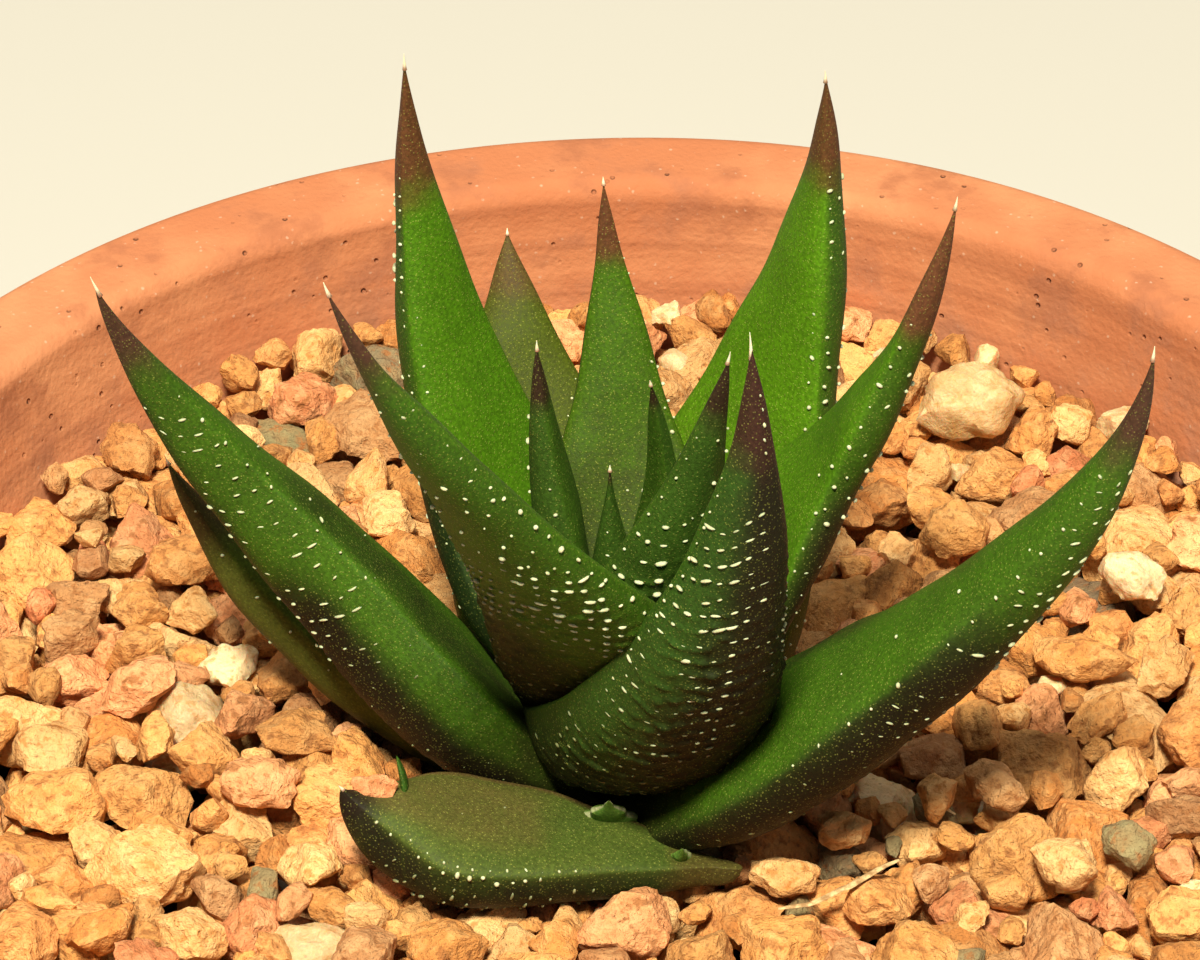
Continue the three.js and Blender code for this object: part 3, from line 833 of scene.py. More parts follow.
# The near-black outer colour is painted shade on the keel, and the near-black tip colour is painted shade at the
# tip, where the stone lies; the golden-brown blush colour is real browning.
OFFSET_LEAF = LeafFinish(
    "leaf_offset", (0.060, 0.088, 0.013), (0.012, 0.013, 0.005), (0.036, 0.066, 0.009),
    base=(0.075, 0.058, 0.014), tip=(0.015, 0.009, 0.006), tinge_and_shade=(0.105, 0.070, 0.022), speck=0.6,
)
TORN_LEAF = LeafFinish(
    "leaf_torn", (0.15, 0.27, 0.045), (0.11, 0.22, 0.035), (0.06, 0.14, 0.02),
    base=(0.05, 0.09, 0.02), tinge_and_shade=(0.34, 0.36, 0.20),
)
WART = WartFinish("wart")
BRISTLE = BristleFinish("bristle")
OCHRE = StoneFinish(
    "granite_ochre",
    ((0.61, 0.265, 0.074), (0.75, 0.38, 0.128), (0.54, 0.20, 0.050), (0.71, 0.34, 0.104), (0.65, 0.275, 0.090)),
    (0.82, 0.48, 0.20),
)
CREAM = StoneFinish(
    "granite_cream", ((0.79, 0.46, 0.19), (0.71, 0.37, 0.138), (0.83, 0.52, 0.24)), stain=(0.48, 0.19, 0.045)
)
ROSE = StoneFinish(
    "granite_rose", ((0.74, 0.29, 0.13), (0.82, 0.38, 0.17), (0.66, 0.21, 0.09)), (0.90, 0.52, 0.27)
)
BROWN = StoneFinish(
    "granite_brown", ((0.46, 0.21, 0.09), (0.58, 0.30, 0.12), (0.38, 0.18, 0.08)), (0.72, 0.44, 0.22)
)
QUARTZ = StoneFinish(
    "granite_quartz",
    ((0.66, 0.46, 0.25), (0.76, 0.59, 0.37), (0.56, 0.36, 0.17)),
    (0.84, 0.68, 0.44),
    (0.50, 0.28, 0.10),
    patches=0.35,
    gloss=0.7,
    clear=0.35,
)
GREY = StoneFinish(
    "granite_grey", ((0.21, 0.18, 0.09), (0.28, 0.23, 0.12), (0.17, 0.13, 0.085)), (0.34, 0.28, 0.14)
)
CLAY = ClayFinish("fired_clay")
SHARD_CLAY = ClayFinish("broken_clay", broken=True)
SOIL = FibreFinish("potting_mix_soil", (0.06, 0.036, 0.022), (0.016, 0.010, 0.007), 1.4, 0.5)
STEM = FibreFinish("stem_bark", (0.40, 0.29, 0.13), (0.18, 0.11, 0.05))
ROOT = FibreFinish("root_skin", (0.62, 0.50, 0.31), (0.36, 0.25, 0.13), 0.8)
STRAW = FibreFinish("dry_straw", (0.72, 0.52, 0.27), (0.34, 0.19, 0.08), 0.3, 0.05)


# ---------------------------------------------------------------- leaves

CAP_SHARE = 0.4
BASE_WIDTH = 0.82


class Layout(Enum):
    """How a set of warts is laid out."""

    ROWS = "rows across the leaf"
    LINE = "one line along the leaf"


@dataclass(frozen=True)
class Warts:
    """A set of warts.

    angles: where it grows round the section, in degrees: 0 and 180 are the edges, 90 the middle of
    the inner face and 270 of the outer face. A line runs from the first angle to the second.
    shares: the stretch of the leaf. step: the distance between rows, or in a line, and between the
    warts of a row. size: length across the leaf, width and height. keep: the share that grows.
    white: how white they are, from 0 to 1.
    """

    angles: tuple[float, float]
    shares: tuple[float, float]
    step: tuple[float, float] = (1.5, 1.05)
    size: tuple[float, float, float] = (0.6, 0.23, 0.2)
    keep: float = 0.85
    white: float = 1.0
    layout: Layout = Layout.ROWS

    def places(self, leaf: "Leaf", rng: np.random.Generator) -> tuple[Array, Array]:
        """Chooses the warts' places.

        Rows stand at whole steps of the leaf's length, bowed as its ridges are. In a row, the
        warts stand at whole steps of the arc length between the two angles, shifted by half a step
        in every other row.

        Args:
            leaf: The leaf that they grow on.
            rng: Draws the scatter.

        Returns:
            Shares of the leaf's length, and angles round its section.
        """
        length = leaf.size[0]
        first, last = (round(share * length / self.step[0]) for share in self.shares)
        level = (np.arange(first, max(last, first + 1)) + 0.5) * self.step[0] / length
        low, high = np.radians(self.angles)
        if self.layout is Layout.LINE:
            part = np.linspace(0, 1, len(level))
            share, angle = level, low + (high - low) * part + rng.normal(0, 0.03, len(level))
        else:
            fan = np.linspace(low, high, 40)
            s, a = np.meshgrid(level, fan, indexing="ij")
            points = leaf.place(leaf.bowed(s, a), a)
            gaps = np.linalg.norm(np.diff(points, axis=1), axis=-1)
            arc = np.concatenate([np.zeros((len(level), 1)), np.cumsum(gaps, 1)], 1)
            shares, angles = [], []
            for number, (row, lengths) in enumerate(zip(level, arc)):
                count = int(lengths[-1] / self.step[1]) + 1
                at = (np.arange(count) + 0.25 + 0.5 * (number % 2) + rng.normal(0, 0.09, count)) * self.step[1]
                at = at[(at > 0) & (at < lengths[-1])]
                angles.append(np.interp(at, lengths, fan))
                shares.append(np.full(len(at), row))
            share, angle = np.concatenate(shares), np.concatenate(angles)
            share = leaf.bowed(share, angle)
        share = share + rng.normal(0, 0.06, len(share)) * self.step[0] / length
        kept = (rng.random(len(share)) < self.keep) & (share > 0.02) & (share < 0.98)
        return share[kept], angle[kept]


def dome() -> Surface:
    """A ball of 32 faces for a wart, with rings at a third and two thirds of the way over it."""
    tilt = np.radians([-50.0, 0.0, 50.0])
    angle = np.arange(8) * TURN / 8
    ring = np.stack([np.cos(angle), np.sin(angle), np.zeros(8)], -1)
    rings = np.cos(tilt)[:, None, None] * ring + np.sin(tilt)[:, None, None] * np.array([0.0, 0.0, 1.0])
    return rings_to_surface(rings, [0, 0, -1], [0, 0, 1])


@dataclass(frozen=True)
class Leaf:
    """A fleshy leaf: a section carried along a curving path. Angles are in degrees.

    heading: direction on plan from base to tip, 0 to the front and 90 to the right; turn: its
    easing. climb: above level; bend: its easing. roll: twist about the leaf's own line. size:
    length, width and depth. reach: the base's distance from the stem's line; lift: its height.
    belly: where it is widest; taper: how full the point is; base: the base's share of the width,
    and base_depth of the depth. ridges: their height and the share up to which they run; bow: how
    far rows lag at the edges. low_end and tip_start: where the darker base ends, which is browning
    and on some leaves painted shade, and where the tip's colour starts. blushes: angle, width in
    degrees, start and end share, strength of patches that are real browning and pale rims, and
    painted shade on flanks that face away from the lamp. torn: how far its teeth reach in. hollow:
    how deep the inner face is at the base, and how it rises after.
    """

    name: str
    heading: tuple[float, float]
    turn: float
    climb: tuple[float, float]
    bend: float
    size: tuple[float, float, float]
    reach: float
    lift: float
    roll: tuple[float, float]
    belly: float
    taper: float
    finish: LeafFinish
    slot: str = "leaf"
    warts: tuple[Warts, ...] = ()
    bristle: float = 0.9
    foot: tuple[float, float] | None = None
    base: float = BASE_WIDTH
    base_depth: float = 0.75
    ridges: tuple[float, float] = (0.0, 0.3)
    ridge_step: float = 1.5
    bow: float = 0.045
    low_end: float = 0.3
    tip_start: float = 0.8
    tinge_and_shade_patches: tuple[tuple[float, float, float, float, float], ...] = ()
    torn: float = 0.0
    hollow: tuple[float, float] = (0.12, 0.3)
    soft: float = 0.1
    grid: tuple[int, int] = (150, 64)

    stem_lean = -0.13
    path_steps = 60

    def axes(self, share: Array) -> tuple[Array, Array, Array]:
        """Directions along the leaf, across it and out of its inner face.

        With heading h and climb c, along is (sin h cos c, -cos h cos c, sin c), across is
        (cos h, sin h, 0) turned about along by the roll, and inward is along x across.

        Args:
            share: Shares of the length.

        Returns:
            Three arrays of unit vectors.
        """
        h = np.radians(self.heading[0] + (self.heading[1] - self.heading[0]) * share**self.turn)
        c = np.radians(self.climb[0] + (self.climb[1] - self.climb[0]) * share**self.bend)
        r = np.radians(self.roll[0] + (self.roll[1] - self.roll[0]) * share)[..., None]
        along = np.stack([np.sin(h) * np.cos(c), -np.cos(h) * np.cos(c), np.sin(c)], -1)
        level = np.stack([np.cos(h), np.sin(h), np.zeros_like(h)], -1)
        across = level * np.cos(r) + np.cross(along, level) * np.sin(r)
        return along, across, np.cross(along, across)

    def centre(self, share: Array) -> Array:
        """Points of the middle line: the sum of small steps, each along the leaf at its middle."""
        step = (np.arange(self.path_steps) + 0.5) / self.path_steps
        h = math.radians(self.heading[0])
        x, y = self.foot or (self.stem_lean * self.lift, 0.0)
        start = np.array([x + self.reach * math.sin(h), y - self.reach * math.cos(h), self.lift])
        moves = self.axes(step)[0] * self.size[0] / self.path_steps
        line = np.concatenate([start[None], start + np.cumsum(moves, 0)])
        at = np.arange(self.path_steps + 1) / self.path_steps
        return np.stack([np.interp(share, at, line[:, k]) for k in range(3)], -1)

    def swell(self, share: Array, base: float, taper: float, sharpness: float) -> Array:
        """Rises from base to 1 at the belly as a sine, then falls as (1 - t ** taper) ** sharpness."""
        rising = base + (1 - base) * np.sin(0.5 * HALF_TURN * np.minimum(share / self.belly, 1))
        part = np.clip((share - self.belly) / (1 - self.belly), 0, 1)
        return np.where(share < self.belly, rising, (1 - part**taper) ** sharpness)

    def softened(self, share: Array, base: float, taper: float, sharpness: float) -> Array:
        """The mean of five swells up to `soft` of the way to the tip before and after a share."""
        steps = np.array([-1.0, -0.5, 0.0, 0.5, 1.0])
        near = share[..., None] + steps * self.soft * (1 - share[..., None]) * np.minimum(share[..., None] * 4, 1)
        return self.swell(near, base, taper, sharpness).mean(-1)

    def half(self, share: Array) -> Array:
        """Half the width, torn into teeth towards the tip where `torn` says so."""
        plain = self.size[1] / 2 * self.softened(share, self.base, self.taper, 1.1)
        teeth = np.abs((share * 3.4 + 0.2) % 1 - 0.5) * 2
        return plain * (1 - self.torn * teeth * ease(0.2, 0.7, share))

    def depth(self, share: Array) -> Array:
        """How far the outer face stands out."""
        return self.size[2] * self.softened(share, self.base_depth, 1.7, 1.0)

    def bowed(self, level: Array, angle: Array) -> Array:
        """A row's share at an angle: its level less bow * cos(angle) ** 2."""
        return level - self.bow * np.cos(angle) ** 2

    def place(self, share: Array, angle: Array) -> Array:
        """Points of the skin.

        At angle a, the section is half * sign(cos a) * |cos a| ** 0.9 across. Inward it is
        rim * |sin a| ** 0.6 - channel * sin(a) ** 2 on the inner face, and -depth * |sin a| ** 0.9 on
        the outer face.

        Args:
            share: Shares of the length.
            angle: Angles round the section, of the same shape.

        Returns:
            Points, in millimetres.
        """
        _, across, inward = self.axes(share)
        half = self.half(share)
        side, face = np.cos(angle), np.sin(angle)
        width = half * np.sign(side) * np.abs(side) ** 0.9
        rim = np.minimum(0.3 * half, 0.9)
        channel = half * (self.hollow[0] - self.hollow[1] * share)
        inner = rim * np.abs(face) ** 0.6 - channel * face**2
        outer = -self.depth(share) * np.abs(face) ** 0.9
        height = np.where(face > 0, inner, outer)
        return self.centre(share) + across * width[..., None] + inward * height[..., None]

    def stand(self, share: Array, angle: Array) -> tuple[Array, Array, Array]:
        """A point of the skin with its outward normal and its direction across the leaf.

        Args:
            share: Shares of the length.
            angle: Angles round the section.

        Returns:
            Points, normals and directions, by differences over small steps.
        """
        step = 0.004
        point = self.place(share, angle)
        lengthwise = self.place(np.minimum(share + step, 1), angle) - self.place(share - step, angle)
        around = self.place(share, angle + 0.05) - self.place(share, angle - 0.05)
        across = unit(around)
        normal = unit(np.cross(across, unit(lengthwise)))
        away = (normal * (point - self.centre(share))).sum(-1, keepdims=True)
        return point, normal * np.where(away < 0, -1.0, 1.0), across

    def skin(self) -> Surface:
        """The leaf's closed surface: a dome behind the base, then sections up to the tip.

        The outer face carries low transverse ridges near the base, and the whole skin swells and
        sinks a little.

        Returns:
            The surface with `face`, `tip`, `low` and `tinge_and_shade` at each point.
        """
        rows, columns = self.grid
        cap = 6
        share = np.concatenate([np.zeros(cap), (np.arange(rows) / rows) ** 0.95])
        part = np.concatenate([(np.arange(cap) + 0.6) / (cap + 0.6), np.ones(rows)])
        angle = np.arange(columns) * TURN / columns
        s, a = np.meshgrid(share, angle, indexing="ij")
        points, normals, _ = self.stand(np.clip(s, 0.004, 1), a)
        points = self.place(s, a)
        outer = ease(0.1, 0.7, -np.sin(a))
        height, reach = self.ridges
        rows_along = (s + self.bow * np.cos(a) ** 2) * self.size[0] / self.ridge_step
        waves = rows_along - 0.5 + 0.16 * ripple(points, 2.6, 3)
        crest = np.exp(2.2 * (np.cos(TURN * waves) - 1))
        fading = ease(0.01, 0.08, s) * ease(reach, reach * 0.6, s) * outer
        raised = height * crest * (0.55 + 0.45 * ripple(points, 1.5, 5)) * fading
        raised += 0.07 * ripple(points, 7.0, 11) * ease(0, 0.05, s) * ease(1, 0.85, s)
        points = points + normals * raised[..., None]
        middle = self.centre(s)
        along = self.axes(s)[0]
        scale = np.sqrt(1 - (1 - part) ** 2)[:, None, None]
        back = CAP_SHARE * self.size[2] * (1 - part)[:, None, None]
        points = middle + (points - middle) * scale - along * back
        start = self.centre(np.array(0.0)) - self.axes(np.array(0.0))[0] * CAP_SHARE * self.size[2]
        made = rings_to_surface(points, start, self.centre(np.array(1.0)))
        # Patches from `tinge_and_shade_patches`, which the finish darkens by its `tinge_and_shade` colour: real
        # browning and pale rims, and painted shade on flanks turned away from the lamp.
        tinge_and_shade = np.zeros_like(s)
        for angle_at, width, begin, stop, strength in self.tinge_and_shade_patches:
            near = ease(math.cos(math.radians(width)), 1.0, np.cos(a - math.radians(angle_at)))
            within = ease(begin - 0.1, begin + 0.1, s) * ease(stop + 0.1, stop - 0.1, s)
            tinge_and_shade = np.maximum(tinge_and_shade, strength * near * within)
        tip = ease(self.tip_start - 0.06, self.tip_start + 0.11, s)
        low = ease(self.low_end, 0.03, s)
        for key, grid, ends in (
            ("face", np.sin(a), (0, 0)), ("tip", tip, (0, 1)), ("low", low, (1, 0)), ("tinge_and_shade", tinge_and_shade, (0, 0)),
        ):
            made.values[key] = np.concatenate([grid.ravel(), ends])
        return made

    def wart_surface(self, rng: np.random.Generator) -> Surface | None:
        """Half-sunk domes, longer across the leaf than along it, and bent a little."""
        template = dome()
        parts, fades = [], []
        for group in self.warts:
            share, angle = group.places(self, rng)
            count = len(share)
            length, width, height = group.size
            start, stop = group.shares
            ends = ease(start - 0.05, start + 0.06, share) * ease(stop + 0.04, stop - 0.1, share)
            grown = np.exp(rng.normal(0, 0.2, (count, 1))) * (0.55 + 0.45 * ends[:, None])
            point, normal, _ = self.stand(np.clip(share, 0.01, 0.985), angle)
            level = share + self.bow * np.cos(angle) ** 2
            sides = [self.place(self.bowed(level, angle + turn), angle + turn) for turn in (-0.05, 0.05)]
            across = unit(sides[1] - sides[0])
            along = np.cross(normal, across)
            x, y, z = (template.points[None, :, k] for k in range(3))
            x = x * grown * np.exp(rng.normal(0, 0.22, (count, 1))) * length / 2
            y = y * grown * width / 2 + rng.normal(0, 0.22, (count, 1)) * x**2 + rng.normal(0, 0.1, (count, 1)) * x
            z = z * grown * height * 0.75 + grown * height * 0.12
            made = point[:, None] + x[..., None] * across[:, None] + y[..., None] * along[:, None]
            parts.append(made + z[..., None] * normal[:, None])
            fade = group.white * rng.uniform(0.72, 1, count) * (0.5 + 0.5 * ends)
            fades.append(np.repeat(fade, len(template.points)))
        if not parts:
            return None
        made = copies(np.concatenate(parts), template)
        made.values["fade"] = np.concatenate(fades)
        return made

    def bristle_surface(self) -> Surface:
        """A thin cone from just inside the tip to a little past it, bent slightly inwards."""
        at = np.linspace(0, 1, 14)
        begin = 1 - 0.55 * self.bristle / self.size[0]
        start = self.centre(np.array(begin))
        along, _, inward = self.axes(np.array(begin))
        path = start + along * (at * self.bristle)[:, None] + inward * (0.06 * self.bristle * at**2)[:, None]
        thick = max(0.16, float(self.half(np.array(begin))) * 1.05)
        made = tube(path, thick * (1 - 0.88 * at**0.8), 10)
        made.values["share"] = np.concatenate([np.repeat(at, 10), [0, 1]])
        return made

    def volume_points(self) -> Array:
        """Points that fill the leaf about every half millimetre, for keeping stones out of it."""
        s, a, k = np.meshgrid(
            np.linspace(0, 1, 130),
            np.linspace(0, TURN, 40, endpoint=False),
            np.linspace(0.1, 1.04, 12),
            indexing="ij",
        )
        middle = self.centre(s)
        return (middle + (self.place(s, a) - middle) * k[..., None]).reshape(-1, 3)

    def build(self) -> None:
        """Adds the leaf's skin, warts and bristle."""
        rng = np.random.default_rng(sum(map(ord, self.name)))
        add_piece(f"{self.name}_skin", self.skin(), self.finish, (self.name,))
        warts = self.wart_surface(rng)
        if warts is not None:
            add_piece(f"{self.name}_warts", warts, WART)
        if self.bristle:
            add_piece(f"{self.name}_bristle", self.bristle_surface(), BRISTLE)


def line(angles: tuple[float, float], shares: tuple[float, float], step: float, size: float = 0.3) -> Warts:
    """A line of small round warts along a leaf.

    Args:
        angles: Where it starts and ends round the section, in degrees.
        shares: The stretch of the leaf.
        step: The distance between warts, in millimetres.
        size: A wart's length.

    Returns:
        The set of warts.
    """
    return Warts(angles, shares, (step, 1.0), (size, size * 0.8, size * 0.55), 0.92, 1.0, Layout.LINE)


def back_warts(edge: float, second: float) -> tuple[Warts, ...]:
    """Warts of a leaf whose inner face is seen: two lines on one edge, a few inside, rows behind.

    Args:
        edge: The angle of the edge that carries more of them.
        second: The angle of the second line, inside that edge.

    Returns:
        Sets of warts.
    """
    return (
        line((edge, edge), (0.28, 0.86), 1.08, 0.27),
        line((180 - edge, 180 - edge), (0.2, 0.6), 1.3, 0.25),
        line((second, second), (0.24, 0.64), 1.6, 0.3),
        Warts((45, 135), (0.22, 0.46), (2.8, 2.3), (0.28, 0.18, 0.1), 0.3, 0.7),
        Warts((205, 335), (0.15, 0.85), (1.9, 1.5), (0.42, 0.24, 0.18), 0.75),
    )


FRONT_WARTS = (
    Warts((183, 272), (0.46, 0.80), (1.25, 0.98), (0.62, 0.18, 0.16), 0.9, 0.86),
    Warts((272, 357), (0.42, 0.80), (1.25, 0.95), (0.34, 0.14, 0.11), 0.8, 0.5),
    Warts((185, 272), (0.34, 0.46), (1.25, 0.90), (0.40, 0.15, 0.12), 0.85, 0.42),
    Warts((190, 350), (0.16, 0.36), (1.25, 0.9), (0.32, 0.14, 0.09), 0.8, 0.03),
    Warts((266, 268), (0.85, 0.95), (0.9, 1.0), (0.16, 0.34, 0.15), 1.0, 1.0, Layout.LINE),
    line((359, 359), (0.30, 0.86), 1.25, 0.28),
    line((181, 181), (0.45, 0.84), 1.3, 0.26),
)
LEFT_WARTS = (
    Warts((282, 352), (0.36, 0.60), (1.3, 1.0), (0.50, 0.18, 0.16), 0.85, 0.9),
    Warts((196, 282), (0.34, 0.58), (1.3, 0.9), (0.46, 0.16, 0.13), 0.88, 0.40),
    Warts((200, 350), (0.58, 0.88), (2.0, 1.6), (0.30, 0.22, 0.15), 0.84, 0.92),
    Warts((196, 345), (0.14, 0.36), (1.3, 0.9), (0.40, 0.16, 0.09), 0.75, 0.10),
    line((355, 358), (0.40, 0.84), 1.5, 0.3),
)
SPARSE_LEFT_WARTS = (
    line((12, 6), (0.42, 0.84), 2.1, 0.24),
    Warts((284, 356), (0.38, 0.86), (1.3, 1.15), (0.50, 0.16, 0.14), 0.78, 0.8),
    Warts((290, 350), (0.14, 0.38), (2.0, 1.6), (0.22, 0.15, 0.08), 0.5, 0.1),
    Warts((200, 284), (0.3, 0.86), (1.9, 1.7), (0.32, 0.20, 0.13), 0.65, 0.7),
    Warts((30, 110), (0.44, 0.84), (2.4, 2.2), (0.26, 0.18, 0.12), 0.5, 0.75),
)
SPARSE_RIGHT_WARTS = (
    line((172, 178), (0.30, 0.86), 2.1, 0.25),
    Warts((184, 258), (0.44, 0.88), (1.35, 1.2), (0.46, 0.15, 0.13), 0.75, 0.68),
    Warts((190, 240), (0.12, 0.44), (1.6, 1.5), (0.32, 0.15, 0.09), 0.5, 0.08),
    Warts((252, 340), (0.3, 0.86), (2.2, 2.0), (0.36, 0.24, 0.16), 0.65),
    Warts((110, 165), (0.4, 0.8), (2.6, 2.2), (0.28, 0.20, 0.12), 0.5, 0.9),
)
RIGHT_WARTS = (
    Warts((183, 262), (0.30, 0.74), (1.7, 1.5), (0.34, 0.26, 0.18), 0.8),
    Warts((262, 350), (0.2, 0.8), (1.9, 1.6), (0.40, 0.24, 0.18), 0.75),
    Warts((110, 172), (0.3, 0.66), (2.4, 2.0), (0.28, 0.22, 0.12), 0.5),
    line((176, 182), (0.3, 0.8), 1.5, 0.27),
)
INNER_WARTS = (
    Warts((190, 345), (0.10, 0.62), (1.55, 1.15), (0.62, 0.28, 0.24), 0.86),
    Warts((200, 340), (0.62, 0.84), (1.9, 1.5), (0.28, 0.24, 0.16), 0.6, 0.9),
    line((182, 182), (0.2, 0.8), 1.6, 0.26),
)
LOW_WARTS = (
    line((-4, -4), (0.5, 0.9), 3.4, 0.26),
    Warts((205, 335), (0.25, 0.85), (2.2, 2.0), (0.30, 0.20, 0.12), 0.5, 0.5),
)
SLIM_WARTS = (
    line((276, 276), (0.34, 0.78), 1.9, 0.34),
    line((352, 352), (0.1, 0.6), 1.6, 0.3),
    line((186, 186), (0.1, 0.7), 1.7, 0.26),
    Warts((205, 345), (0.05, 0.36), (1.6, 1.3), (0.42, 0.26, 0.2), 0.85),
)
BUD_WARTS = (line((270, 270), (0.15, 0.75), 1.7, 0.2),)
OFFSET_WARTS = (
    line((2, 2), (0.42, 0.92), 0.95, 0.34),
    line((18, 26), (0.34, 0.84), 1.15, 0.22),
    Warts((300, 350), (0.3, 0.9), (1.3, 1.1), (0.46, 0.16, 0.12), 0.85, 0.22),
    Warts((30, 140), (0.2, 0.8), (3.0, 2.6), (0.2, 0.16, 0.05), 0.3, 0.25),
)

